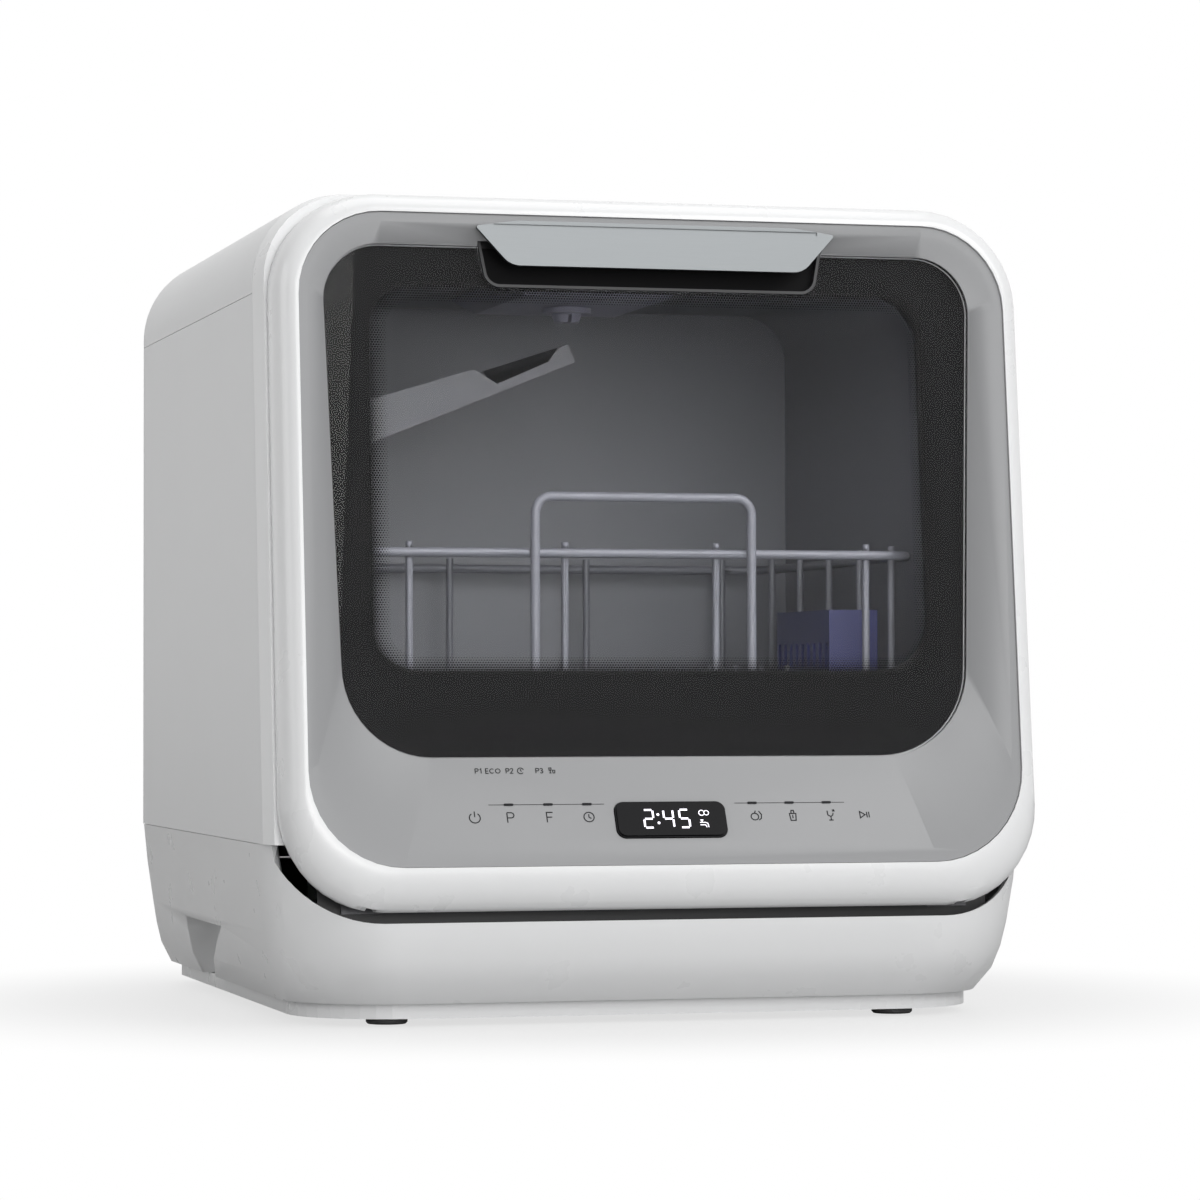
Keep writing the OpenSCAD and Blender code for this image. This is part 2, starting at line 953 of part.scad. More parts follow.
// Circuit board with touch pads, behind the control panel
module touch_board() {
    color("#2f6b45")
    on_front()
        on_panel()
            translate([-board_hw, frame_wall + seam, -panel_drop + 10])
                cube([2 * board_hw, board_t, panel_drop - 18]);
}

// Steel tongue at the top of the door, with a barb at its tip
module latch_tongue() {
    color("#b9bcc0")
    on_front() {
        translate([-8, door_t - 8, tongue_h])
            cube([16, 27, 2.2]);
        translate([-6, door_t + 14, tongue_h + 2.2])
            cube([12, 4, 1.4]);
    }
}

module latch_slot(hw, grow, y0, y1) {
    translate([-hw - grow, y0, tongue_h - grow])
        cube([2 * (hw + grow), y1 - y0, 2.2 + 2 * grow]);
}

// Wash chamber

module tub_form(grow) {
    hull() {
        on_front()
            upright(flange_in - (grow > 0 ? 0 : over), flange_in + slice)
                polygon(outline(tub_hw + grow, mouth_low - grow, mouth_high + grow, tub_r + grow, tub_r + grow, 8));
        upright(tub_rear + grow - slice, tub_rear + grow)
            polygon(outline(tub_hw + grow, tub_floor - grow, tub_top + grow, tub_r + grow, tub_r + grow, 8));
    }
}

module tub() {
    color("#55585d")
    difference() {
        union() {
            tub_form(tub_t);
            on_front()
                upright(flange_in, flange_in + 2)
                    polygon(outline(tub_hw + 16, tub_lip_low, mouth_high + 9, tub_r + 12, tub_r + 12));
        }
        tub_form(0);
        translate([sump_x, sump_y, 0])
            cylinder(r = sump_r, h = tub_floor + 20);
        translate([0, arm_y, 0])
            cylinder(r = 13, h = tub_floor + 20);
    }
}

// Soft seal that the liner's flange presses on
module tub_gasket() {
    color("#2b2c2e")
    on_front()
        upright(door_t + 2.5 + seam, flange_in - seam)
            difference() {
                polygon(outline(tub_hw + seal_w - 1, mouth_low - seal_w + 1, mouth_high + seal_w - 1, tub_r + 4, tub_r + 4));
                polygon(outline(tub_hw - 4, mouth_low + 4, mouth_high - 4, tub_r - 3, tub_r - 3));
            }
}

// Housing of the door latch above the tub's mouth
module latch_catch() {
    color("#3b3d40")
    on_front()
        difference() {
            translate([-15, ring_in + frame_wall + seam, latch_low])
                cube([30, 30, 18]);
            translate([-12, ring_in, latch_low + 1.5])
                cube([24, 30, 14.5]);
            translate([0, lever_in, lever_h])
                rotate([0, 90, 0])
                    cylinder(r = 2 + run_gap, h = 60, center = true);
        }
}

// Sprung lever whose nose drops behind the tongue's barb
module latch_lever() {
    color("#c9cbce")
    on_front() {
        translate([0, lever_in, lever_h])
            rotate([0, 90, 0])
                cylinder(r = 2, h = 29, center = true);
        translate([0, lever_in, lever_h])
            rotate([0, 90, 0])
                cylinder(r = 3.5, h = 12, center = true);
        translate([-6, lever_in - 15, lever_h - 1])
            cube([12, 15, 3]);
        translate([-6, lever_in - 15, lever_h - 3])
            cube([12, 3, 3]);
    }
}

// Raised panel in the ceiling that feeds the upper nozzle
module ceiling_unit() {
    color("#8d8fa0")
    difference() {
        hull() {
            block([-unit_hw, nozzle_y - 70, tub_top - 11], [unit_hw, nozzle_y + 50, tub_top - 10]);
            block([-unit_hw - 8, nozzle_y - 78, tub_top - 1.3], [unit_hw + 8, nozzle_y + 75, tub_top - seam]);
        }
        translate([0, nozzle_y, tub_top - 20])
            cylinder(r = 7 + run_gap, h = 15);
    }
}

// Round nozzle with a split cap
module ceiling_nozzle() {
    color("#a9abb8")
    translate([0, nozzle_y, tub_top - 11])
        difference() {
            union() {
                translate([0, 0, -0.3 - 3])
                    cylinder(r = 14, h = 3);
                cylinder(r = 7, h = 5);
                translate([0, 0, -0.3])
                    cylinder(r = 7, h = 0.4);
                translate([0, 0, -8.5])
                    cylinder(r1 = 7, r2 = 9, h = 5.5);
            }
            translate([-1, -20, -9])
                cube([2, 40, 5]);
        }
}

// Channel on the tub's wall that a pair of rollers runs in
module basket_rail(side) {
    y0 = basket_y + 2;
    x1 = tub_hw - seam;
    rotate([90, 0, 180])
        translate([0, 0, y0])
            linear_extrude(tub_rear - 6 - y0)
                scale([-side, 1])
                    difference() {
                        translate([roller_x - 1, rail_floor - 2])
                            square([x1 - roller_x + 1, 2 * roller_r + 5]);
                        translate([roller_x - 2, rail_floor])
                            square([x1 - roller_x, 2 * roller_r + 1]);
                    }
}

module basket_rail_left() {
    color("#7b7e83")
        basket_rail(-1);
}

module basket_rail_right() {
    color("#7b7e83")
        basket_rail(1);
}

// Wire work

// Straight wire between two points
module wire(p, q, d) {
    v = q - p;
    l = norm(v);
    translate(p)
        rotate([0, acos(v[2] / l), atan2(v[1], v[0])])
            cylinder(r = d / 2, h = l);
}

// Level loop of wire with round corners
module wire_loop(hw, y0, y1, z, r, d) {
    for (side = [-1, 1]) {
        wire([side * hw, y0 + r, z], [side * hw, y1 - r, z], d);
        wire([-hw + r, side < 0 ? y0 : y1, z], [hw - r, side < 0 ? y0 : y1, z], d);
    }
    for (i = [0:3])
        translate([(i == 0 || i == 3 ? 1 : -1) * (hw - r), i < 2 ? y1 - r : y0 + r, z])
            rotate([0, 0, i * 90])
                rotate_extrude(angle = 90)
                    translate([r, 0])
                        circle(d / 2, $fn = 24);
}

// Wire handle that stands over the front rail
module wire_bow(hw, y, low, high, r, d) {
    for (side = [-1, 1])
        wire([side * hw, y, low], [side * hw, y, high - r], d);
    wire([-hw + r, y, high], [hw - r, y, high], d);
    for (side = [-1, 1])
        translate([side * (hw - r), y, high - r])
            rotate([90, side > 0 ? 0 : -90, 0])
                rotate_extrude(angle = 90)
                    translate([r, 0])
                        circle(d / 2, $fn = 24);
}

// Wire basket with its front handle and the stub axles of its rollers
module basket() {
    y0 = basket_y;
    y1 = basket_y + basket_l;
    color("#85888e") {
        wire_loop(basket_hw, y0, y1, basket_high, 18, rail_d);
        wire_loop(basket_hw, y0, y1, basket_low, 18, rail_d);
        wire_bow(60, y0 - 3.5, basket_low - 1, handle_wire_z, 9, rail_d);
        for (x = upright_x, y = [y0 + 3.5, y1 - 3.5])
            wire([x, y, basket_low - 2], [x, y, basket_high + 6], wire_d);
        for (side = [-1, 1], i = [0:4])
            wire([side * (basket_hw - 3.5), y0 + 30 + i * (basket_l - 60) / 4, basket_low - 2],
                 [side * (basket_hw - 3.5), y0 + 30 + i * (basket_l - 60) / 4, basket_high + 6], wire_d);
        for (i = [0:9])
            wire([-basket_hw, y0 + (i + 0.5) * basket_l / 10, basket_low], [basket_hw, y0 + (i + 0.5) * basket_l / 10, basket_low], wire_d);
        for (x = [-2:2])
            wire([x * 52, y0, basket_low - 2.5], [x * 52, y1, basket_low - 2.5], wire_d);
        for (side = [-1, 1], y = [roller_front_y, roller_rear_y]) {
            block([side * basket_hw - 3.3, y - 9, roller_z - 6], [side * basket_hw + 3.3, y + 9, basket_low + 8]);
            wire([side * basket_hw, y, roller_z], [side * (roller_x + roller_w + 1.5), y, roller_z], 2 * axle_r);
            wire([side * (roller_x + roller_w + seam), y, roller_z], [side * (roller_x + roller_w + 1.5), y, roller_z], 2 * axle_r + 2);
        }
    }
}

// Two rows of prongs that hold plates upright
module plate_rack() {
    z0 = basket_low + wire_d / 2 + seam + 1.5;
    color("#85888e")
        for (row = rack_y) {
            wire([rack_x0 - 6, row, z0], [rack_x0 + 7 * rack_pitch + 6, row, z0], 3);
            for (i = [0:7])
                wire([rack_x0 + i * rack_pitch, row, z0], [rack_x0 + i * rack_pitch - 6, row, z0 + rack_h], 3);
        }
    color("#85888e")
        for (i = [0, 7])
            wire([rack_x0 + i * rack_pitch, rack_y[0], z0], [rack_x0 + i * rack_pitch, rack_y[1], z0], 3);
}

// Open plastic basket for cutlery with slotted walls
module cutlery_basket() {
    low = basket_low + wire_d / 2 + seam;
    color("#3a3f66")
        difference() {
            block([cutlery_x, cutlery_y, low], [cutlery_x + cutlery_w, cutlery_y + cutlery_l, low + cutlery_h]);
            for (i = [0:2])
                block([cutlery_x + 1.6, cutlery_y + 1.6 + i * (cutlery_l - 1.6) / 3, low + 1.6],
                      [cutlery_x + cutlery_w - 1.6, cutlery_y + (i + 1) * (cutlery_l - 1.6) / 3, low + cutlery_h + over]);
            for (i = [0:2], j = [0:2], k = [0:2])
                block([cutlery_x - over, cutlery_y + (i + (j + 0.5) / 3) * cutlery_l / 3 - 2.5, low + 8 + k * 19],
                      [cutlery_x + cutlery_w + over, cutlery_y + (i + (j + 0.5) / 3) * cutlery_l / 3 + 2.5, low + 22 + k * 19]);
        }
}

module roller(side, y) {
    color("#9fa2a6")
    translate([side * (roller_x + roller_w / 2), y, roller_z])
        rotate([0, 90, 0])
            difference() {
                cylinder(r = roller_r, h = roller_w - 2 * seam, center = true);
                cylinder(r = axle_r + run_gap, h = 2 * roller_w, center = true);
                for (i = [0:4])
                    rotate([0, 0, i * 72])
                        translate([(roller_r + axle_r) / 2 + 0.2, 0, 0])
                            cylinder(r = 1.5, h = 2 * roller_w, center = true);
            }
}

module roller_front_left() {
    roller(-1, roller_front_y);
}

module roller_front_right() {
    roller(1, roller_front_y);
}

module roller_rear_left() {
    roller(-1, roller_rear_y);
}

module roller_rear_right() {
    roller(1, roller_rear_y);
}

// Cup shelf

module on_shelf() {
    translate([shelf_x, shelf_y, shelf_z])
        rotate([0, -shelf_slope, 0])
            children();
}

// Slotted tray with raised front and rear lips that step down towards its free edge
module cup_shelf() {
    color("#666970")
    on_shelf()
        difference() {
            union() {
                rotate([-90, 0, 0])
                    cylinder(r = 3.5, h = shelf_d);
                block([0, 0, -1.5], [shelf_l, shelf_d, 1]);
                for (y = [0, shelf_d - 2])
                    translate([0, y + 2, 0])
                        rotate([90, 0, 0])
                            linear_extrude(2)
                                polygon([[0, -1.5], [shelf_l, -1.5], [shelf_l, 9], [shelf_l - 6, 9],
                                         [shelf_l - 14, 4], [105, 3], [96, 15], [8, 23], [0, 3]]);
                block([shelf_l - 2, 0, -1.5], [shelf_l, shelf_d, 9]);
            }
            for (i = [0:7], j = [0:3])
                block([14 + i * 16, 12 + j * (shelf_d - 16) / 4, -5], [24 + i * 16, 12 + j * (shelf_d - 16) / 4 + 30, 5]);
            rotate([-90, 0, 0])
                translate([0, 0, -over])
                    cylinder(r = 2 + run_gap, h = shelf_d + 2 * over);
        }
}

// Bracket on the tub's wall with the shelf's pivot rod and the stop under it
module shelf_bracket() {
    color("#55585d") {
        translate([shelf_x, shelf_y - 6, shelf_z])
            rotate([-90, 0, 0])
                cylinder(r = 2, h = shelf_d + 12);
        for (y = [shelf_y - 6, shelf_y + shelf_d + seam + 1])
            block([seam - tub_hw, y, shelf_z - 8], [shelf_x + 4, y + 4, shelf_z + 6]);
        block([seam - tub_hw, shelf_y - 6, shelf_z - 24], [3 - tub_hw, shelf_y + shelf_d + 5.3, shelf_z - 8]);
        for (y = [shelf_y + 30, shelf_y + shelf_d - 36])
            on_shelf_stop(y);
    }
}

module on_shelf_stop(y) {
    translate([0, y + 6, 0])
        rotate([90, 0, 0])
            linear_extrude(6)
                polygon([[-tub_hw + 2, shelf_z - 24], [shelf_x + 14, shelf_z + stop_rise(14)], [shelf_x + 6, shelf_z + stop_rise(6)],
                         [-tub_hw + 2, shelf_z - 10]]);
}
// Height of the stop's top under the resting shelf, at a distance from the pivot
function stop_rise(x) = x * tan(shelf_slope) - (1.5 + seam) / cos(shelf_slope);

// Water circuit

module sump() {
    color("#2c2d30")
    translate([sump_x, sump_y, 0])
        difference() {
            union() {
                translate([0, 0, sump_low])
                    cylinder(r = sump_r - 1, h = tub_floor - sump_low);
                translate([0, 0, tub_floor - tub_t - 2 - seam])
                    cylinder(r = sump_r + 6, h = 2);
                translate([-sump_r - 14, 0, sump_low + 14])
                    rotate([0, 90, 0])
                        cylinder(r = 9, h = 20);
            }
            translate([0, 0, sump_low + 2.5])
                cylinder(r = sump_r - 3.5, h = tub_floor);
            translate([-sump_r - 15, 0, sump_low + 14])
                rotate([0, 90, 0])
                    cylinder(r = 6.5, h = 30);
        }
}

// Cylinder filter that stands in the sump
module filter_cup() {
    color("#6f7379")
    translate([sump_x, sump_y, sump_low + 2.5 + seam])
        difference() {
            cylinder(r = filter_r, h = tub_floor - sump_low + 1);
            translate([0, 0, 2])
                cylinder(r = filter_r - 2, h = tub_floor);
            for (i = [0:11], z = [10, 24])
                rotate([0, 0, i * 30])
                    translate([filter_r, 0, z])
                        cube([8, 3, 9], center = true);
        }
}

// Flat strainer round the filter
module filter_plate() {
    color("#b4b7ba")
    translate([sump_x, sump_y, tub_floor + seam])
        difference() {
            cylinder(r = sump_r + 5, h = 1.2);
            translate([0, 0, -over])
                cylinder(r = filter_r + seam, h = 4);
        }
}

// Fixed post that feeds the spray arm
module spray_hub_post() {
    color("#2f3033")
    translate([0, arm_y, 0])
        difference() {
            union() {
                translate([0, 0, tub_floor - 30])
                    cylinder(r = 12.7, h = 32);
                translate([0, 0, tub_floor + seam])
                    cylinder(r = 18, h = 3);
                translate([0, 0, tub_floor])
                    cylinder(r = post_r, h = arm_lift + 5);
            }
            translate([0, 0, tub_floor - 31])
                cylinder(r = 5.5, h = 60);
        }
}

// Two-winged spray arm on its hub
module spray_arm() {
    color("#3d3f43")
    translate([0, arm_y, arm_z])
        difference() {
            union() {
                translate([0, 0, -4])
                    cylinder(r = hub_r, h = 10);
                translate([0, 0, 6])
                    cylinder(r1 = hub_r - 2, r2 = hub_r - 7, h = 3);
                for (turn = [0, 180])
                    rotate([0, 0, arm_turn + turn])
                        hull() {
                            translate([0, 0, -2.5])
                                cylinder(r = hub_r - 5, h = 7, $fn = 32);
                            translate([arm_l - 11, 0, -1.5])
                                cylinder(r = 11, h = 4.5, $fn = 32);
                        }
            }
            translate([0, 0, -10])
                cylinder(r = post_r + run_gap, h = 15 + seam);
            for (turn = [0, 180], i = [0:3])
                rotate([0, 0, arm_turn + turn])
                    translate([38 + i * 27, (i % 2) * 8 - 4, 0])
                        cylinder(r = 1.6, h = 12);
        }
}

// Wash pump: a motor can beside its volute
module wash_pump() {
    color("#43464a")
    translate([pump_x, sump_y, pump_z]) {
        rotate([0, 90, 0]) {
            translate([0, 0, -motor_l - 2])
                cylinder(r = motor_r, h = motor_l);
            translate([0, 0, -2])
                cylinder(r = motor_r + 5, h = volute_l);
            translate([0, 0, volute_l - 2])
                cylinder(r = 9, h = sump_x - sump_r - pump_x - volute_l - 12 - seam);
        }
        translate([6, 0, 0])
            rotate([-90, 0, 0])
                cylinder(r = 8, h = motor_l + 2);
        for (x = [6 - motor_l, volute_l - 16])
            block([x, 5 - motor_r, -pump_z + foot_h + wall + seam], [x + 10, motor_r - 5, 7 - motor_r]);
    }
}

// Elbow that carries water from the pump to the spray arm's post
module circulation_hose() {
    color("#1f2022")
    translate([pump_x + 6, sump_y + motor_l + 2 + seam, pump_z]) {
        rotate([-90, 0, 0])
            tube(7.5, 5, 12);
        translate([0, 12, 0])
            rotate([-90, 0, 0])
                translate([2, 0, 0])
                    tube(7.5, 5, hose_run);
    }
    translate([0, arm_y, hose_top - 18])
        tube(7.5, 5, 18);
}

module tube(r, bore, h) {
    difference() {
        cylinder(r = r, h = h);
        translate([0, 0, -over])
            cylinder(r = bore, h = h + 2 * over);
    }
}

// Drain pump with its outlet towards the back
module drain_pump() {
    color("#2c2e31")
    translate([sump_x, drain_y, drain_z]) {
        rotate([-90, 0, 0]) {
            cylinder(r = drain_r, h = 26);
            translate([0, 0, 26])
                cylinder(r = drain_r - 3, h = drain_l - 26);
        }
        block([5 - drain_r, 4, foot_h + wall + seam - drain_z], [drain_r - 5, 22, 7 - drain_r]);
    }
}

// Flow heater: a steel tube with end caps
module heater() {
    color("#a7abaf")
    translate([heater_x, heater_y, heater_z]) {
        rotate([-90, 0, 0]) {
            cylinder(r = heater_r, h = heater_l);
            for (end = [0, heater_l])
                translate([0, 0, end - 6])
                    cylinder(r = heater_r + 3, h = 12);
        }
        for (y = [0, heater_l - 12])
            block([5 - heater_r, y, foot_h + wall + seam - heater_z], [heater_r - 5, y + 10, 7 - heater_r]);
    }
}

// Tank behind the tub, filled through the back
module water_tank() {
    color("#c9ccd0")
    difference() {
        union() {
            translate([0, tub_rear + tub_t + 2, 0])
                upright(0, tank_d)
                    polygon(outline(tank_hw, tank_low, tub_top + 12, 14, 24));
            on_rear(fill_x, fill_z)
                translate([0, 0, wall + seam])
                    cylinder(r = fill_r + 2.5, h = 14);
        }
        on_rear(fill_x, fill_z)
            cylinder(r = fill_r, h = 40);
    }
}

// Hose connection at the back of a recess; r is the stub's radius
module recessed_stub(r, bore) {
    difference() {
        union() {
            translate([0, 0, 0.5])
                cylinder(r = r, h = recess_d);
            translate([0, 0, recess_d])
                cylinder(r = r + recess_gap + 3, h = 3);
            translate([0, 0, base_wall + seam])
                difference() {
                    cylinder(r = r + recess_gap + 3, h = recess_d + 1 - base_wall);
                    cylinder(r = r + recess_gap, h = 3 * recess_d, center = true);
                }
        }
        translate([0, 0, -over])
            cylinder(r = bore, h = recess_d);
    }
}

module inlet_valve() {
    color("#d7d9db")
    on_rear(valve_x, valve_z) {
        recessed_stub(valve_r, valve_r - 4);
        translate([-valve_r - 3, -valve_r - 1, recess_d + 2])
            cube([2 * valve_r + 6, 2 * valve_r + 2, 34]);
    }
}

// Outlet that the drain hose is pushed on
module drain_spigot() {
    color("#4a4d51")
    on_rear(spigot_x, valve_z) {
        recessed_stub(spigot_r, spigot_r - 2.5);
        translate([0, 0, recess_d + 2])
            cylinder(r = spigot_r - 1, h = 22);
    }
}

// Recessed socket for the mains lead
module power_inlet() {
    color("#2a2b2d")
    difference() {
        block([inlet_x - inlet_hw, rear_y - 26, valve_z - inlet_hh], [inlet_x + inlet_hw, rear_y - 0.5, valve_z + inlet_hh]);
        block([inlet_x - inlet_hw + 3, rear_y - 20, valve_z - inlet_hh + 3], [inlet_x + inlet_hw - 3, rear_y + over, valve_z + inlet_hh - 3]);
    }
    color("#b9bcc0")
        for (i = [-1:1])
            block([inlet_x + i * 7 - 1, rear_y - 21, valve_z - 3 + (i == 0 ? 2 : 0)],
                  [inlet_x + i * 7 + 1, rear_y - 6, valve_z + 1 + (i == 0 ? 2 : 0)]);
}

module power_board() {
    board_z = foot_h + wall + 6;
    translate([-power_w / 2 - 20, power_y, board_z]) {
        color("#2f6b45")
        cube([power_w, power_d, board_t]);
        color("#303236")
        translate([10, 10, board_t])
            cube([36, 34, 28]);
        color("#303236")
        for (x = [4, power_w - 8], y = [4, power_d - 8])
            translate([x, y, seam - 6])
                cube([4, 4, 6 - seam]);
    }
}

// Screws that hold the plinth tray
module casing_screws() {
    color("#8f9296")
    for (p = screw_places)
        translate([p[0], p[1], foot_h - 1.4 - seam])
            difference() {
                cylinder(r = 4, h = 1.4);
                for (turn = [0, 90])
                    rotate([0, 0, turn])
                        translate([-2.5, -0.6, -over])
                            cube([5, 1.2, over + 0.8]);
            }
}

top_cover();
left_side_panel();
right_side_panel();
rear_cover();
front_frame();
base_housing();
base_pan();
feet();
drip_strip();
kick_panel();
tub();
tub_gasket();
hinge_bracket_left();
hinge_bracket_right();
hinge_pin_left();
hinge_pin_right();
latch_catch();
latch_lever();
ceiling_unit();
ceiling_nozzle();
basket_rail_left();
basket_rail_right();
shelf_bracket();
cup_shelf();
sump();
filter_plate();
filter_cup();
spray_hub_post();
spray_arm();
wash_pump();
drain_pump();
heater();
water_tank();
inlet_valve();
drain_spigot();
power_inlet();
power_board();
circulation_hose();
door_frame();
door_bezel();
door_glass();
window_pane();
door_liner();
handle_plate();
handle_pocket();
display_window();
touch_board();
detergent_cup();
latch_tongue();
hinge_arm_left();
hinge_arm_right();
basket();
plate_rack();
cutlery_basket();
roller_front_left();
roller_front_right();
roller_rear_left();
roller_rear_right();
casing_screws();
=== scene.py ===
"""Countertop dishwasher with a leaning glazed door: looks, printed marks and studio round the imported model."""
import json
import math

import bmesh
import bpy
from mathutils import Matrix, Vector


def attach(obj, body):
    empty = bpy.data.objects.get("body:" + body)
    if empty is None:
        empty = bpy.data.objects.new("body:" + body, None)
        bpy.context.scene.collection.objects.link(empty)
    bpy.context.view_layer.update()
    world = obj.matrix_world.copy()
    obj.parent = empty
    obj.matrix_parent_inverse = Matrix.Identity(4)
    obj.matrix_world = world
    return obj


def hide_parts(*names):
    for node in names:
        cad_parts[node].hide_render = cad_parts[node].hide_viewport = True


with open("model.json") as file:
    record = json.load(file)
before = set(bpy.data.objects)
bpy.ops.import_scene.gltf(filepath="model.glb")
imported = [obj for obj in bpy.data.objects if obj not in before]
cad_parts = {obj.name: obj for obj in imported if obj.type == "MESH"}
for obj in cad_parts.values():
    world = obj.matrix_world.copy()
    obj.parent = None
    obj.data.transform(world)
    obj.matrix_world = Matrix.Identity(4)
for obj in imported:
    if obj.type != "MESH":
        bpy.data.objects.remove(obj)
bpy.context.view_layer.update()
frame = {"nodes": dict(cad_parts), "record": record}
nodes = frame["nodes"]
MM = 0.001

# ---------------------------------------------------------------- camera and studio
camera = bpy.data.objects.new("camera", bpy.data.cameras.new("camera"))
bpy.context.scene.collection.objects.link(camera)
bpy.context.scene.camera = camera
camera.data.sensor_width = 36
camera.data.lens = 128.69
camera.data.clip_end = 50
CAMERA_PLACE = Vector((-0.6166, -2.3666, 0.170))
CAMERA_YAW, CAMERA_PITCH, CAMERA_ROLL = map(math.radians, (15.01, 1.33, -0.08))
camera.matrix_world = (
    Matrix.Translation(CAMERA_PLACE)
    @ Matrix.Rotation(-CAMERA_YAW, 4, "Z")
    @ Matrix.Rotation(math.pi / 2 + CAMERA_PITCH, 4, "X")
    @ Matrix.Rotation(CAMERA_ROLL, 4, "Z")
)

bpy.context.scene.view_settings.view_transform = "Standard"


def area_lamp(name, place, target, size, power, colour=(1, 1, 1)):
    """A rectangular soft lamp that points at a target."""
    lamp = bpy.data.lights.new(name, "AREA")
    lamp.shape = "RECTANGLE"
    lamp.size, lamp.size_y = size
    lamp.energy = power
    lamp.color = colour
    thing = bpy.data.objects.new(name, lamp)
    bpy.context.scene.collection.objects.link(thing)
    thing.location = place
    thing.rotation_euler = (Vector(target) - Vector(place)).to_track_quat("-Z", "Y").to_euler()
    return thing


area_lamp("key_lamp", (1.1, -1.8, 1.7), (0, -0.1, 0.2), (1.6, 1.2), 23)
area_lamp("front_lamp", (-0.3, -2.8, 0.8), (0, -0.1, 0.2), (1.4, 1.2), 18)
area_lamp("top_lamp", (0.0, 0.1, 1.9), (0, 0, 0.2), (1.4, 1.4), 8)
area_lamp("low_lamp", (0.2, -2.6, 0.25), (0, -0.2, 0.1), (1.6, 0.4), 5)
area_lamp("left_lamp", (-2.2, 0.2, 0.9), (0, 0, 0.2), (1.2, 1.2), 6)


def studio_world(level):
    """White for what the camera, a mirror or glass sees, and a plain level of light for the rest."""
    world = bpy.data.worlds.new("studio")
    bpy.context.scene.world = world
    world.use_nodes = True
    tree = world.node_tree
    background = tree.nodes["Background"]
    path = tree.nodes.new("ShaderNodeLightPath")
    mirrored = math_node(tree, "MAXIMUM", path.outputs["Is Glossy Ray"], path.outputs["Is Transmission Ray"])
    seen = math_node(tree, "MAXIMUM", path.outputs["Is Camera Ray"], mirrored)
    strength = tree.nodes.new("ShaderNodeMapRange")
    strength.inputs["To Min"].default_value = level
    strength.inputs["To Max"].default_value = 1.0
    tree.links.new(seen, strength.inputs["Value"])
    tree.links.new(strength.outputs["Result"], background.inputs["Strength"])
    background.inputs["Color"].default_value = (1, 1, 1, 1)


# ---------------------------------------------------------------- shader groups
def new_group(name, inputs, outputs):
    """An empty shader node group with named inputs (name, kind, value) and outputs (name, kind)."""
    group = bpy.data.node_groups.new(name, "ShaderNodeTree")
    for label, kind, value in inputs:
        socket = group.interface.new_socket(label, in_out="INPUT", socket_type=kind)
        socket.default_value = value
    for label, kind in outputs:
        group.interface.new_socket(label, in_out="OUTPUT", socket_type=kind)
    return group, group.nodes.new("NodeGroupInput"), group.nodes.new("NodeGroupOutput")


def math_node(tree, operation, a, b=None):
    """A math node fed by sockets or numbers; returns its output."""
    node = tree.nodes.new("ShaderNodeMath")
    node.operation = operation
    for socket, value in zip(node.inputs, (a, b)):
        if value is None:
            continue
        if isinstance(value, (int, float)):
            socket.default_value = value
        else:
            tree.links.new(value, socket)
    return node.outputs[0]


def noise_node(tree, place, scale, detail=2.0):
    """Noise at a place and scale, each a socket or a value; returns its factor."""
    node = tree.nodes.new("ShaderNodeTexNoise")
    node.inputs["Detail"].default_value = detail
    tree.links.new(place, node.inputs["Vector"])
    if isinstance(scale, (int, float)):
        node.inputs["Scale"].default_value = scale
    else:
        tree.links.new(scale, node.inputs["Scale"])
    return node.outputs["Fac"]


FLOAT, COLOUR = "NodeSocketFloat", "NodeSocketColor"


def moulded_skin_group():
    """Skin of a moulded, lacquered or coated piece: fine grain, slow drift of tone, faint handling marks."""
    group, given, result = new_group(
        "moulded_skin",
        [("Colour", COLOUR, (0.8, 0.8, 0.8, 1)), ("Drift", FLOAT, 0.04), ("Grain size", FLOAT, 0.0006),
         ("Roughness", FLOAT, 0.35), ("Roughness spread", FLOAT, 0.06)],
        [("Colour", COLOUR), ("Roughness", FLOAT), ("Height", FLOAT)],
    )
    place = group.nodes.new("ShaderNodeTexCoord").outputs["Object"]
    link = group.links.new
    grain_scale = math_node(group, "DIVIDE", 1.0, given.outputs["Grain size"])
    grain = noise_node(group, place, grain_scale, 3.0)
    slow = noise_node(group, place, 7.0, 2.0)
    marks = noise_node(group, place, 38.0, 4.0)
    swing = math_node(group, "SUBTRACT", slow, 0.5)
    fine = math_node(group, "MULTIPLY", math_node(group, "SUBTRACT", grain, 0.5), 0.5)
    tone = math_node(group, "ADD", 1.0, math_node(
        group, "MULTIPLY", math_node(group, "ADD", swing, fine), given.outputs["Drift"]))
    scaled = group.nodes.new("ShaderNodeVectorMath")
    scaled.operation = "SCALE"
    link(given.outputs["Colour"], scaled.inputs[0])
    link(tone, scaled.inputs["Scale"])
    link(scaled.outputs[0], result.inputs["Colour"])
    spread = math_node(group, "MULTIPLY", math_node(group, "SUBTRACT", marks, 0.5),
                       given.outputs["Roughness spread"])
    link(math_node(group, "ADD", given.outputs["Roughness"], spread), result.inputs["Roughness"])
    link(grain, result.inputs["Height"])
    return group


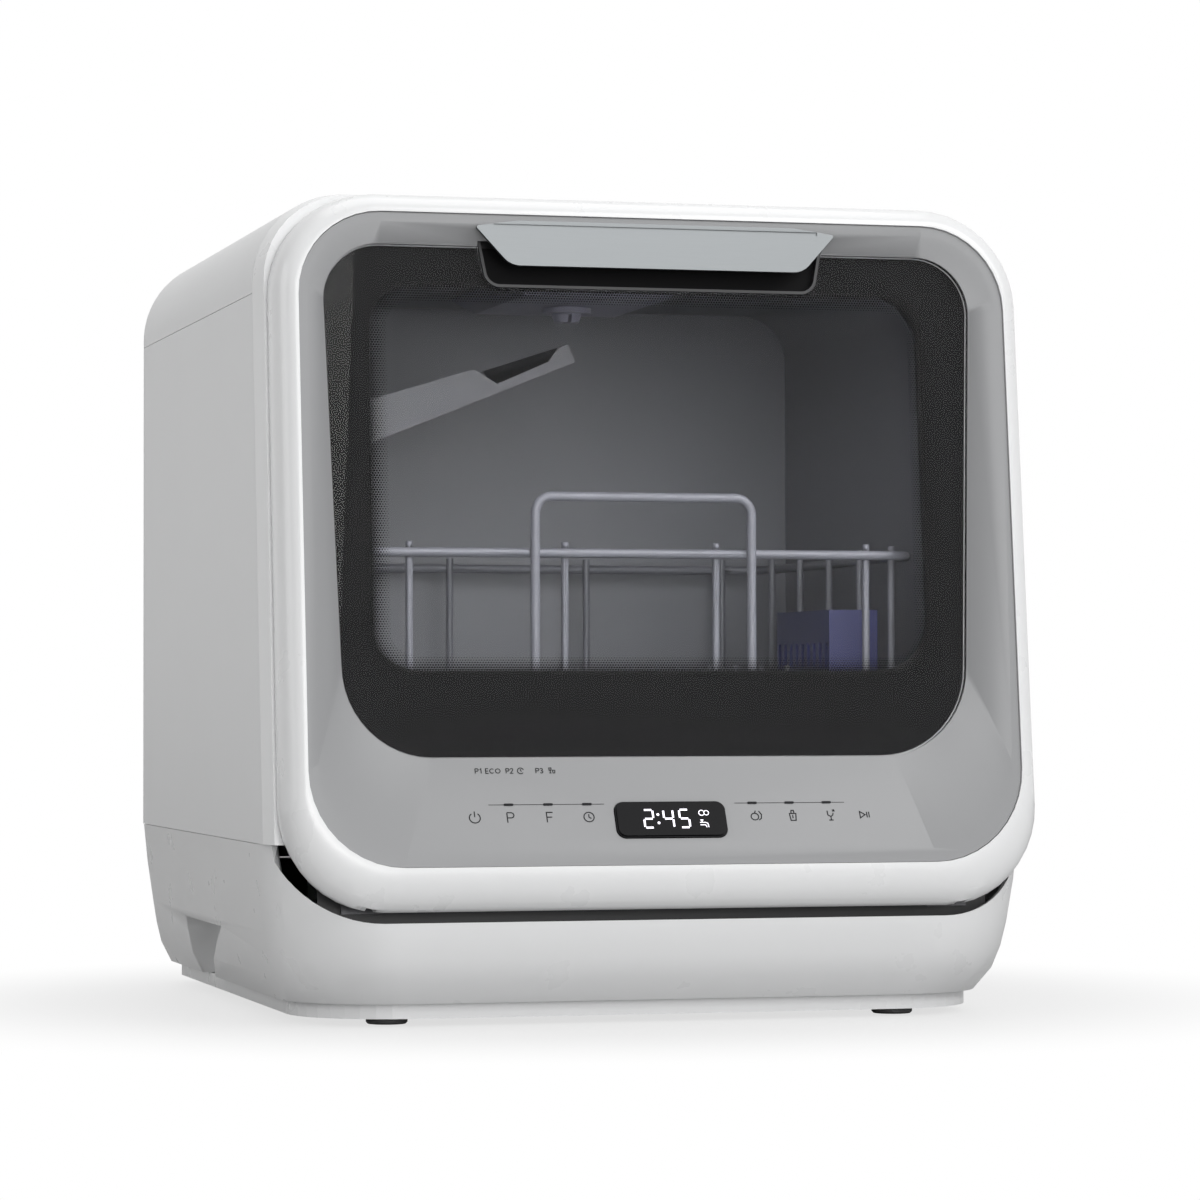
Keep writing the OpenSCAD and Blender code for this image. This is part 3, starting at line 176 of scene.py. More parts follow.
def brushed_group():
    """Fine straight brushing along X, for metal: streaks in tone, roughness and height."""
    group, given, result = new_group(
        "brushed_metal",
        [("Colour", COLOUR, (0.6, 0.6, 0.6, 1)), ("Streak size", FLOAT, 0.0004), ("Contrast", FLOAT, 0.12),
         ("Roughness", FLOAT, 0.3)],
        [("Colour", COLOUR), ("Roughness", FLOAT), ("Height", FLOAT)],
    )
    link = group.links.new
    place = group.nodes.new("ShaderNodeTexCoord").outputs["Object"]
    stretch = group.nodes.new("ShaderNodeVectorMath")
    stretch.operation = "MULTIPLY"
    stretch.inputs[1].default_value = (0.03, 1.0, 1.0)
    link(place, stretch.inputs[0])
    scale = math_node(group, "DIVIDE", 1.0, given.outputs["Streak size"])
    streak = noise_node(group, stretch.outputs[0], scale, 3.0)
    swing = math_node(group, "MULTIPLY", math_node(group, "SUBTRACT", streak, 0.5), given.outputs["Contrast"])
    scaled = group.nodes.new("ShaderNodeVectorMath")
    scaled.operation = "SCALE"
    link(given.outputs["Colour"], scaled.inputs[0])
    link(math_node(group, "ADD", 1.0, swing), scaled.inputs["Scale"])
    link(scaled.outputs[0], result.inputs["Colour"])
    link(math_node(group, "ADD", given.outputs["Roughness"], swing), result.inputs["Roughness"])
    link(streak, result.inputs["Height"])
    return group


MOULDED_SKIN = moulded_skin_group()
BRUSHED = brushed_group()
WORLD_LEVEL = 0.30
studio_world(WORLD_LEVEL)


# ---------------------------------------------------------------- materials
def finish(name, group, values, relief, metallic=0.0, coat=0.0, coat_roughness=0.05, specular=0.5):
    """A material whose colour, roughness and relief come from a group; relief is its depth in metres."""
    material = bpy.data.materials.new(name)
    material.use_nodes = True
    tree = material.node_tree
    shader = tree.nodes["Principled BSDF"]
    skin = tree.nodes.new("ShaderNodeGroup")
    skin.node_tree = group
    for label, value in values.items():
        skin.inputs[label].default_value = value
    tree.links.new(skin.outputs["Colour"], shader.inputs["Base Color"])
    tree.links.new(skin.outputs["Roughness"], shader.inputs["Roughness"])
    bump = tree.nodes.new("ShaderNodeBump")
    bump.inputs["Distance"].default_value = relief
    bump.inputs["Strength"].default_value = 1.0
    tree.links.new(skin.outputs["Height"], bump.inputs["Height"])
    tree.links.new(bump.outputs["Normal"], shader.inputs["Normal"])
    shader.inputs["Metallic"].default_value = metallic
    shader.inputs["Coat Weight"].default_value = coat
    shader.inputs["Coat Roughness"].default_value = coat_roughness
    shader.inputs["Specular IOR Level"].default_value = specular
    return material


def moulded(name, colour, roughness=0.4, grain=0.6, relief=0.01, drift=0.05, **more):
    """A plastic, rubber or lacquered finish; grain and relief in millimetres."""
    return finish(name, MOULDED_SKIN, {"Colour": (*colour, 1), "Drift": drift, "Grain size": grain * MM,
                                       "Roughness": roughness, "Roughness spread": 0.04}, relief * MM, **more)


def metal(name, colour, roughness=0.3, streak=0.4, contrast=0.12, relief=0.004, **more):
    """A brushed or plated metal; streak and relief in millimetres."""
    return finish(name, BRUSHED, {"Colour": (*colour, 1), "Streak size": streak * MM, "Contrast": contrast,
                                  "Roughness": roughness}, relief * MM, metallic=1.0, **more)


def glass(name, colour, roughness=0.002, ior=1.14):
    """Glass that lets the lamps through, so that what stands behind it is lit."""
    material = bpy.data.materials.new(name)
    material.use_nodes = True
    tree = material.node_tree
    shader = tree.nodes["Principled BSDF"]
    shader.inputs["Base Color"].default_value = (*colour, 1)
    shader.inputs["Transmission Weight"].default_value = 1.0
    shader.inputs["IOR"].default_value = ior
    place = tree.nodes.new("ShaderNodeTexCoord").outputs["Object"]
    smear = noise_node(tree, place, 22.0, 3.0)
    tree.links.new(math_node(tree, "MULTIPLY", smear, 2 * roughness), shader.inputs["Roughness"])
    clear = tree.nodes.new("ShaderNodeBsdfTransparent")
    clear.inputs["Color"].default_value = (*colour, 1)
    path = tree.nodes.new("ShaderNodeLightPath")
    mix = tree.nodes.new("ShaderNodeMixShader")
    tree.links.new(path.outputs["Is Shadow Ray"], mix.inputs[0])
    tree.links.new(shader.outputs[0], mix.inputs[1])
    tree.links.new(clear.outputs[0], mix.inputs[2])
    tree.links.new(mix.outputs[0], tree.nodes["Material Output"].inputs["Surface"])
    return material


def glow(name, colour, strength):
    """A lit mark: its brightness varies slightly along it, as behind a diffuser."""
    material = bpy.data.materials.new(name)
    material.use_nodes = True
    tree = material.node_tree
    shader = tree.nodes["Principled BSDF"]
    shader.inputs["Base Color"].default_value = (0.02, 0.02, 0.02, 1)
    place = tree.nodes.new("ShaderNodeTexCoord").outputs["Object"]
    patch = math_node(tree, "MULTIPLY_ADD", noise_node(tree, place, 400.0), 0.25)
    patch.node.inputs[2].default_value = 0.85
    tint = tree.nodes.new("ShaderNodeVectorMath")
    tint.operation = "SCALE"
    tint.inputs[0].default_value = colour
    tree.links.new(patch, tint.inputs["Scale"])
    tree.links.new(tint.outputs[0], shader.inputs["Emission Color"])
    shader.inputs["Emission Strength"].default_value = strength
    return material


FINISHES = {
    "white_plastic": moulded("white_moulded_gloss", (0.82, 0.825, 0.83), 0.28, 0.9, 0.006, 0.02,
                             coat=0.35, coat_roughness=0.12),
    "panel_white": moulded("white_coated_sheet", (0.78, 0.785, 0.79), 0.42, 0.8, 0.010, 0.03),
    "grey_bezel": moulded("grey_satin_lacquer", (0.30, 0.303, 0.31), 0.40, 0.35, 0.004, 0.04,
                          coat=0.1, coat_roughness=0.25),
    "dark_trim": moulded("dark_trim", (0.035, 0.035, 0.037), 0.45, 0.6, 0.012),
    "rubber": moulded("grey_rubber", (0.12, 0.12, 0.122), 0.62, 0.8, 0.02),
    "tub_grey": moulded("dark_grey_moulding", (0.21, 0.215, 0.24), 0.38, 0.8, 0.012),
    "liner_grey": moulded("graphite_moulding", (0.022, 0.023, 0.025), 0.42, 0.8, 0.012),
    "glass_dark": glass("tinted_glass", (0.93, 0.93, 0.93)),
    "glass_clear": glass("clear_glass", (0.97, 0.97, 0.975)),
    "grip_metal": metal("satin_aluminium", (0.19, 0.20, 0.205), 0.40, 0.5, 0.10),
    "display_black": moulded("gloss_black_cover", (0.005, 0.005, 0.006), 0.12, 2.0, 0.0, specular=0.06),
    "board_green": moulded("circuit_board", (0.03, 0.16, 0.08), 0.35, 1.2, 0.02, 0.3),
    "steel": metal("zinc_plated_steel", (0.58, 0.59, 0.61), 0.34, 0.8, 0.16),
    "basket_wire": moulded("grey_coated_wire", (0.20, 0.205, 0.235), 0.34, 0.5, 0.012),
    "cutlery_blue": moulded("dark_blue_grey_plastic", (0.045, 0.05, 0.16), 0.35, 0.6, 0.012),
    "arm_grey": moulded("charcoal_plastic", (0.05, 0.052, 0.058), 0.4, 0.7, 0.012),
    "nozzle_grey": moulded("lavender_grey_plastic", (0.38, 0.38, 0.47), 0.36, 0.7, 0.01),
    "tank_clear": moulded("milky_plastic", (0.62, 0.65, 0.67), 0.35, 1.0, 0.01),
    "roller_grey": moulded("grey_roller_plastic", (0.16, 0.165, 0.175), 0.38, 0.7, 0.01),
}


# ---------------------------------------------------------------- places on the door
LEAN = math.radians(6.2)
RIM_PLANE_Y = -228.913 * MM
GLASS_HIGH, GLASS_LOW = 412.5 * MM, 143 * MM
GLASS_HIGH_IN, GLASS_LOW_IN = 12 * MM, 21 * MM
PANEL_DROP = 54.5 * MM
GLASS_TURN = math.atan((GLASS_LOW_IN - GLASS_HIGH_IN) / (GLASS_HIGH - GLASS_LOW))
PANEL_TURN = math.atan(GLASS_LOW_IN / PANEL_DROP)
ON_DOOR = Matrix.Translation((0, RIM_PLANE_Y, 0)) @ Matrix.Rotation(-LEAN, 4, "X")
ON_GLASS = ON_DOOR @ Matrix.Translation((0, GLASS_HIGH_IN, GLASS_HIGH)) @ Matrix.Rotation(GLASS_TURN, 4, "X")
ON_PANEL = ON_DOOR @ Matrix.Translation((0, GLASS_LOW_IN, GLASS_LOW)) @ Matrix.Rotation(-PANEL_TURN, 4, "X")


# ---------------------------------------------------------------- finishes and smooth skins of the CAD nodes
BLACKENED = metal("blackened_steel", (0.10, 0.10, 0.105), 0.42, 0.6, 0.2)
SHELF_GREY = moulded("slate_grey_moulding", (0.075, 0.077, 0.088), 0.36, 0.8, 0.012)
SLOT_OF = {row["node"]: row["material_slot"] for row in frame["record"]["subparts"]}
BODY_OF = {node: body for body, group in frame["record"]["behaviour"]["bodies"].items() for node in group}
WELD = 0.02 * MM
SHARP_EDGE = math.radians(32)
FLAT_JOIN = math.radians(0.05)
FACE_WEIGHT = 80


def finish_of(node):
    """The finish that a node shows: hinges and latch blackened, and the cup shelf darker than the tub."""
    if node.startswith(("hinge_", "latch_")):
        return BLACKENED
    return SHELF_GREY if node in ("cup_shelf", "shelf_bracket") else FINISHES[SLOT_OF[node]]


for node, thing in nodes.items():
    thing.data.materials.clear()
    thing.data.materials.append(finish_of(node))


def smooth_skin(node, reshape=None):
    """A merged copy of a node, shaded smooth between its sharp edges, that shows in the node's place."""
    shape = bmesh.new()
    shape.from_mesh(nodes[node].data)
    bmesh.ops.remove_doubles(shape, verts=shape.verts, dist=WELD)
    if node != "base_housing":
        bmesh.ops.dissolve_limit(shape, angle_limit=FLAT_JOIN, verts=shape.verts, edges=shape.edges)
    if reshape:
        reshape(shape)
    mesh = bpy.data.meshes.new(node + "_merged")
    shape.to_mesh(mesh)
    shape.free()
    mesh.shade_smooth()
    mesh.set_sharp_from_angle(angle=SHARP_EDGE)
    draft = bpy.data.objects.new(node + "_draft", mesh)
    bpy.context.scene.collection.objects.link(draft)
    weights = draft.modifiers.new("weights", "WEIGHTED_NORMAL")
    weights.keep_sharp = True
    weights.weight = FACE_WEIGHT
    bpy.context.view_layer.update()
    made = bpy.data.meshes.new_from_object(draft.evaluated_get(bpy.context.evaluated_depsgraph_get()))
    bpy.data.objects.remove(draft)
    made.name = node + "_skin"
    made.materials.clear()
    made.materials.append(finish_of(node))
    skin = bpy.data.objects.new(node + "_skin", made)
    bpy.context.scene.collection.objects.link(skin)
    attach(skin, BODY_OF[node])
    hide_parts(node)


SMOOTHED = ("top_cover", "left_side_panel", "right_side_panel", "rear_cover", "front_frame", "base_housing", "feet",
            "drip_strip", "kick_panel", "tub", "tub_gasket", "door_frame", "door_bezel", "door_liner",
            "handle_plate", "handle_pocket", "detergent_cup", "basket", "plate_rack", "cutlery_basket", "cup_shelf",
            "spray_arm", "ceiling_unit", "ceiling_nozzle", "drain_spigot", "power_inlet", "roller_front_left",
            "roller_front_right", "roller_rear_left", "roller_rear_right", "water_tank")


def outline_distance(x, z, half_width, low, high, radius):
    """Distance of a point outside an upright rounded outline, negative inside it."""
    reach_x = abs(x) - (half_width - radius)
    reach_z = abs(z - (low + high) / 2) - ((high - low) / 2 - radius)
    outside = math.hypot(max(reach_x, 0), max(reach_z, 0))
    return outside + min(max(reach_x, reach_z), 0) - radius


LINER_WINDOW = (149 * MM, 196 * MM, 391 * MM, 24 * MM)  # half width, low, high, corner radius
EDGE_REACH = 0.6 * MM
WIDEN = 6 * MM
LEG_FOOT, LEG_EXTRA = 0.3 * MM, 2.7 * MM


def wider_window(shape):
    """Moves the edge of the liner's window out, clear of what shows through the front glass."""
    half_width, low, high, radius = LINER_WINDOW
    inward = ON_DOOR.inverted()
    for vert in shape.verts:
        place = inward @ vert.co
        if abs(outline_distance(place.x, place.z, *LINER_WINDOW)) < EDGE_REACH:
            near_x = max(min(place.x, half_width - radius), radius - half_width)
            near_z = max(min(place.z, high - radius), low + radius)
            way = Vector((place.x - near_x, 0, place.z - near_z))
            if way.length > 1e-6:
                vert.co = ON_DOOR @ (place + way.normalized() * WIDEN)


def longer_legs(shape):
    """Brings the foot of the front frame's legs down to the base."""
    low = min(vert.co.z for vert in shape.verts)
    for vert in shape.verts:
        if vert.co.z < low + LEG_FOOT:
            vert.co.z -= LEG_EXTRA


RESHAPED = {"door_liner": wider_window, "front_frame": longer_legs}
for node in SMOOTHED:
    smooth_skin(node, reshape=RESHAPED.get(node))


def mesh_piece(name, mesh, slot_name, body, material=None):
    """A finished mesh as a piece of the object, at the origin, riding on a body."""
    thing = bpy.data.objects.new(name, mesh)
    bpy.context.scene.collection.objects.link(thing)
    thing.data.materials.clear()
    thing.data.materials.append(material or FINISHES[slot_name])
    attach(thing, body)
    return thing


def stroke_outline(points, width, closed=False):
    """Left and right edges of a flat stroke along 2-D points, with mitred bends."""
    count = len(points)
    left, right = [], []
    for i, point in enumerate(points):
        before = points[i - 1] if (i or closed) else None
        after = points[(i + 1) % count] if (i + 1 < count or closed) else None
        ways = []
        if before is not None:
            ways.append((Vector(point) - Vector(before)).normalized())
        if after is not None:
            ways.append((Vector(after) - Vector(point)).normalized())
        way = sum(ways, Vector((0, 0))).normalized()
        reach = width / 2 / max(0.35, abs(way.dot(ways[0])))
        side = Vector((-way.y, way.x)) * reach
        left.append(Vector(point) + side)
        right.append(Vector(point) - side)
    return left, right


class Marks:
    """Thin raised print made of strokes and filled shapes, laid on a plane of the door."""

    def __init__(self, plane, proud):
        self.mesh = bmesh.new()
        self.plane, self.proud = plane, proud

    def slab(self, ring):
        """Adds one thin slab with a ring of 2-D points as its face."""
        area = sum(a[0] * b[1] - b[0] * a[1] for a, b in zip(ring, ring[1:] + ring[:1]))
        if area < 0:
            ring = ring[::-1]
        top = [self.mesh.verts.new(self.plane @ Vector((p[0], -self.proud, p[1]))) for p in ring]
        low = [self.mesh.verts.new(self.plane @ Vector((p[0], 0, p[1]))) for p in ring]
        self.mesh.faces.new(top)
        self.mesh.faces.new(low[::-1])
        for i in range(len(ring)):
            j = (i + 1) % len(ring)
            self.mesh.faces.new((top[i], low[i], low[j], top[j]))

    def stroke(self, points, width, closed=False):
        left, right = stroke_outline(points, width, closed)
        spans = len(points) if closed else len(points) - 1
        for i in range(spans):
            j = (i + 1) % len(points)
            self.slab([left[i], right[i], right[j], left[j]])

    def made(self, name):
        bmesh.ops.recalc_face_normals(self.mesh, faces=self.mesh.faces)
        mesh = bpy.data.meshes.new(name)
        self.mesh.to_mesh(mesh)
        self.mesh.free()
        return mesh


def ring_points(centre, radius, start=0.0, end=360.0, steps=20, squeeze=1.0):
    """2-D points of an arc; squeeze flattens it upwards."""
    turns = [math.radians(start + (end - start) * i / steps) for i in range(steps + 1)]
    points = [Vector((centre[0] + radius * math.cos(t), centre[1] + squeeze * radius * math.sin(t))) for t in turns]
    return points[:-1] if abs(end - start) >= 360 else points


def shifted(points, centre, size):
    """Points of a sign drawn in a unit square, moved to its place."""
    return [Vector((centre[0] + x * size, centre[1] + y * size)) for x, y in points]


# ---------------------------------------------------------------- marks of the control panel
SIGN_Z = -34.8 * MM
LINE_Z = -27.4 * MM
SMALL_Z = -7.8 * MM
FINE = 0.56 * MM
SIGN = 5.2 * MM

print_on_panel = Marks(ON_PANEL, 0.06 * MM)


def power_sign(marks, centre, size):
    marks.stroke(ring_points(centre, size * 0.48, 125, 415), FINE)
    marks.stroke(shifted([(0, 0.08), (0, 0.62)], centre, size), FINE)


def letter_p(marks, centre, size, width=FINE):
    bowl = [(-0.3, 0.5), (0.1, 0.5), (0.28, 0.42), (0.34, 0.24), (0.28, 0.06), (0.1, -0.02), (-0.3, -0.02)]
    marks.stroke(shifted([(-0.3, -0.5), (-0.3, 0.5)], centre, size), width)
    marks.stroke(shifted(bowl, centre, size), width)


def letter_f(marks, centre, size, width=FINE):
    marks.stroke(shifted([(0.3, 0.5), (-0.28, 0.5), (-0.28, -0.5)], centre, size), width)
    marks.stroke(shifted([(-0.28, 0.02), (0.22, 0.02)], centre, size), width)


def clock_sign(marks, centre, size):
    marks.stroke(ring_points(centre, size * 0.5), FINE, closed=True)
    marks.stroke(shifted([(0, 0.3), (0, -0.02), (0.22, -0.16)], centre, size), FINE)


def fruit_sign(marks, centre, size):
    middle = (centre[0] - 0.16 * size, centre[1] - 0.1 * size)
    marks.stroke(ring_points(middle, 0.36 * size, squeeze=0.95), FINE, True)
    marks.stroke(shifted([(-0.14, 0.26), (-0.04, 0.5)], centre, size), FINE)
    marks.stroke(shifted([(0.26, 0.46), (0.5, 0.1), (0.44, -0.28), (0.2, -0.46)], centre, size), FINE)


def cup_sign(marks, centre, size):
    marks.stroke(shifted([(-0.3, 0.18), (-0.22, -0.52), (0.26, -0.52), (0.32, 0.18)], centre, size), FINE, True)
    marks.stroke(shifted([(-0.14, 0.2), (-0.1, 0.5), (0.12, 0.5), (0.16, 0.2)], centre, size), FINE)
    marks.stroke(shifted([(0.0, 0.02), (0.0, -0.3)], centre, size), FINE)


def glass_sign(marks, centre, size):
    marks.stroke(shifted([(-0.28, 0.42), (-0.26, 0.0), (0, -0.16), (0.2, 0.0), (0.24, 0.2)], centre, size), FINE)
    marks.stroke(shifted([(0, -0.16), (0, -0.5)], centre, size), FINE)
    marks.stroke(shifted([(-0.2, -0.5), (0.2, -0.5)], centre, size), FINE)
    marks.stroke(shifted([(0.18, 0.5), (0.42, 0.36)], centre, size), FINE)
    marks.stroke(shifted([(0.36, 0.54), (0.24, 0.32)], centre, size), FINE)


def start_sign(marks, centre, size):
    marks.stroke(shifted([(-0.5, 0.34), (0.02, 0), (-0.5, -0.34)], centre, size), FINE, True)
    for x in (0.2, 0.42):
        marks.stroke(shifted([(x, 0.3), (x, -0.3)], centre, size), FINE)


SIGNS = ((-105, power_sign, 1.15), (-86, letter_p, 1.1), (-65, letter_f, 1.1), (-44, clock_sign, 1.05),
         (47, fruit_sign, 1.1), (67, cup_sign, 1.1), (88, glass_sign, 1.15), (107, start_sign, 1.05))
for x, draw, share in SIGNS:
    draw(print_on_panel, (x * MM, SIGN_Z), share * SIGN)
for x0, x1 in ((-97, -35), (36, 96.5)):
    print_on_panel.stroke([Vector((x0 * MM, LINE_Z)), Vector((x1 * MM, LINE_Z))], 0.26 * MM)

# Programme numbers in the panel's upper left corner
SMALL = 2.7 * MM
THIN = 0.4 * MM
DIGIT_1 = [(-0.16, 0.3), (0.06, 0.5), (0.06, -0.5)]
DIGIT_2 = [(-0.26, 0.34), (-0.1, 0.5), (0.16, 0.5), (0.28, 0.3), (0.22, 0.1), (-0.28, -0.5), (0.3, -0.5)]
DIGIT_3 = [(-0.26, 0.4), (-0.06, 0.5), (0.2, 0.44), (0.24, 0.2), (0.0, 0.03), (0.26, -0.14), (0.24, -0.4),
           (-0.02, -0.5), (-0.28, -0.4)]
for x, digit in ((-100, DIGIT_1), (-83.5, DIGIT_2), (-67.5, DIGIT_3)):
    letter_p(print_on_panel, ((x - 1.1) * MM, SMALL_Z), SMALL, THIN)
    print_on_panel.stroke(shifted(digit, ((x + 1.1) * MM, SMALL_Z), SMALL), THIN)
letter_e = [(0.26, 0.5), (-0.26, 0.5), (-0.26, -0.5), (0.26, -0.5)]
print_on_panel.stroke(shifted(letter_e, (-95.6 * MM, SMALL_Z), SMALL), THIN)
print_on_panel.stroke(shifted([(-0.26, 0), (0.2, 0)], (-95.6 * MM, SMALL_Z), SMALL), THIN)
print_on_panel.stroke(ring_points((-92.9 * MM, SMALL_Z), SMALL * 0.46, 50, 310, 12), THIN)
print_on_panel.stroke(ring_points((-89.8 * MM, SMALL_Z), SMALL * 0.46, steps=14), THIN, True)
small_clock = (-77.6 * MM, SMALL_Z)
print_on_panel.stroke(ring_points(small_clock, SMALL * 0.62, 20, 320, 14), THIN)
print_on_panel.stroke(shifted([(0, 0.36), (0, 0), (0.24, -0.1)], small_clock, SMALL), THIN)
small_glass = (-61.6 * MM, SMALL_Z)
print_on_panel.stroke(shifted([(-0.26, 0.6), (-0.22, 0.1), (0.16, 0.1), (0.2, 0.6)], small_glass, SMALL), THIN, True)
print_on_panel.stroke(shifted([(-0.03, 0.1), (-0.03, -0.5)], small_glass, SMALL), THIN)
print_on_panel.stroke(shifted([(-0.24, -0.5), (0.18, -0.5)], small_glass, SMALL), THIN)
print_on_panel.stroke(shifted([(0.42, 0.1), (0.92, 0.1), (0.84, -0.5), (0.5, -0.5)], small_glass, SMALL), THIN, True)

PRINT_GREY = moulded("dark_grey_print", (0.02, 0.02, 0.022), 0.5, 0.4, 0.0, specular=0.1)
mesh_piece("panel_print", print_on_panel.made("panel_print"), "dark_trim", "door", PRINT_GREY)

# Touch lamps on the two lines
lamps_on_panel = Marks(ON_PANEL, 0.25 * MM)
for x in (-86.3, -65.2, -44.3, 45.6, 66.0, 86.6):
    end = 0.65 * MM
    right_end = ring_points(((x + 2.0) * MM, LINE_Z), end, -90, 90, 6)
    left_end = ring_points(((x - 2.0) * MM, LINE_Z), end, 90, 270, 6)
    lamps_on_panel.slab(right_end + left_end)
mesh_piece("touch_lamps", lamps_on_panel.made("touch_lamps"), "display_black", "door", PRINT_GREY)

# Display: three lit figures, a colon and two lit signs behind the gloss cover
display = Marks(ON_PANEL @ Matrix.Translation((0, -1.62 * MM, 0)), 0.05 * MM)
DISPLAY_Z = -36.9 * MM
FIGURE_W, FIGURE_H, BAR = 5.0 * MM, 10.2 * MM, 1.0 * MM
BARS = {"top": ((-0.5, 1), (0.5, 1)), "upper_left": ((-0.5, 1), (-0.5, 0)), "upper_right": ((0.5, 1), (0.5, 0)),
        "middle": ((-0.5, 0), (0.5, 0)), "lower_left": ((-0.5, 0), (-0.5, -1)),
        "lower_right": ((0.5, 0), (0.5, -1)), "bottom": ((-0.5, -1), (0.5, -1))}
FIGURES = {2: ("top", "upper_right", "middle", "lower_left", "bottom"),
           4: ("upper_left", "upper_right", "middle", "lower_right"),
           5: ("top", "upper_left", "middle", "lower_right", "bottom")}
for x, figure in ((-12.4, 2), (-1.6, 4), (7.0, 5)):
    for bar in FIGURES[figure]:
        (ax, az), (bx, bz) = BARS[bar]
        a = Vector((x * MM + ax * FIGURE_W, DISPLAY_Z + az * FIGURE_H / 2))
        b = Vector((x * MM + bx * FIGURE_W, DISPLAY_Z + bz * FIGURE_H / 2))
        way = (b - a).normalized()
        display.stroke([a + way * 0.5 * MM, b - way * 0.5 * MM], BAR)
for z in (-2.4, 2.4):
    display.slab(ring_points((-7.2 * MM, DISPLAY_Z + z * MM), 0.75 * MM, steps=10))
plate_sign = (16.6 * MM, DISPLAY_Z + 3.2 * MM)
display.stroke(ring_points(plate_sign, 1.5 * MM, 20, 320, 12), 0.4 * MM)
display.stroke(ring_points((plate_sign[0] + 2.6 * MM, plate_sign[1]), 1.3 * MM, 160, 500, 12), 0.4 * MM)
tap_sign = (17.4 * MM, DISPLAY_Z - 3.2 * MM)
display.stroke(shifted([(-0.8, 0.3), (0.3, 0.3), (0.7, 0.1), (0.8, -0.7)], tap_sign, 2.8 * MM), 0.4 * MM)
display.stroke(shifted([(-0.8, -0.2), (0.1, -0.2), (0.36, -0.34), (0.4, -0.7)], tap_sign, 2.8 * MM), 0.4 * MM)
display.stroke(shifted([(-0.4, 0.34), (-0.4, 0.8)], tap_sign, 2.8 * MM), 0.4 * MM)
display.stroke(shifted([(-0.7, 0.8), (-0.1, 0.8)], tap_sign, 2.8 * MM), 0.4 * MM)
LIT_FIGURES = glow("lit_figures", (0.93, 0.9, 1.0), 2.2)
mesh_piece("display_figures", display.made("display_figures"), "display_black", "door", LIT_FIGURES)


# ---------------------------------------------------------------- printed border of the glass
WINDOW_HW, WINDOW_LOW, WINDOW_HIGH, WINDOW_R = 152.5 * MM, 188 * MM, 391 * MM, 22 * MM
GLASS_LENGTH = (GLASS_HIGH - GLASS_LOW) / math.cos(GLASS_TURN)
GLASS_T = 4 * MM
PRINT_T = 0.2 * MM


def corner_ring(rows, steps=12):
    """Ring of points round four corners (x, z, radius, start angle)."""
    ring = []
    for x, z, radius, start in rows:
        ring += ring_points((x, z), radius, start, start + 90, steps)
    return ring


def window_ring(grow):
    """Outline of the see-through window on the plane of the glass, grown by a distance."""
    radius = WINDOW_R
    low, high = WINDOW_LOW - GLASS_HIGH, WINDOW_HIGH - GLASS_HIGH
    x, r = WINDOW_HW - radius, radius + grow
    return corner_ring([(x, low + radius, r, -90), (x, high - radius, r, 0),
                        (-x, high - radius, r, 90), (-x, low + radius, r, 180)])


def glass_ring(inset):
    """Outline of the front glass, moved in."""
    high_hw, high_r, low_hw, low_r = 177.7 * MM, 30 * MM, 171 * MM, 48 * MM
    return corner_ring([(low_hw - low_r, -GLASS_LENGTH + low_r, low_r - inset, -90),
                        (high_hw - high_r, -high_r, high_r - inset, 0),
                        (high_r - high_hw, -high_r, high_r - inset, 90),
                        (low_r - low_hw, -GLASS_LENGTH + low_r, low_r - inset, 180)])


HALFTONE = 0.8 * MM
DOT_PITCH = 1.45 * MM
DOT_BAND = 8.5 * MM
WIDEST_DOT, NARROWEST_DOT = 0.60 * DOT_PITCH, 0.14 * DOT_PITCH


def border_mesh():
    """Closed thin plate between the glass's outline and the halftone round the window."""
    shape = bmesh.new()
    layers = []
    for depth in (GLASS_T + 0.04 * MM, GLASS_T + PRINT_T):
        for ring in (glass_ring(0.4 * MM), window_ring(HALFTONE)):
            layers.append([shape.verts.new(ON_GLASS @ Vector((p[0], depth, p[1]))) for p in ring])
    outer, inner, outer_back, inner_back = layers
    count = len(outer)
    for i in range(count):
        j = (i + 1) % count
        shape.faces.new((outer[i], outer[j], inner[j], inner[i]))
        shape.faces.new((outer_back[j], outer_back[i], inner_back[i], inner_back[j]))
        shape.faces.new((outer[j], outer[i], outer_back[i], outer_back[j]))
        shape.faces.new((inner[i], inner[j], inner_back[j], inner_back[i]))
    bmesh.ops.recalc_face_normals(shape, faces=shape.faces)
    mesh = bpy.data.meshes.new("glass_border")
    shape.to_mesh(mesh)
    shape.free()
    return mesh


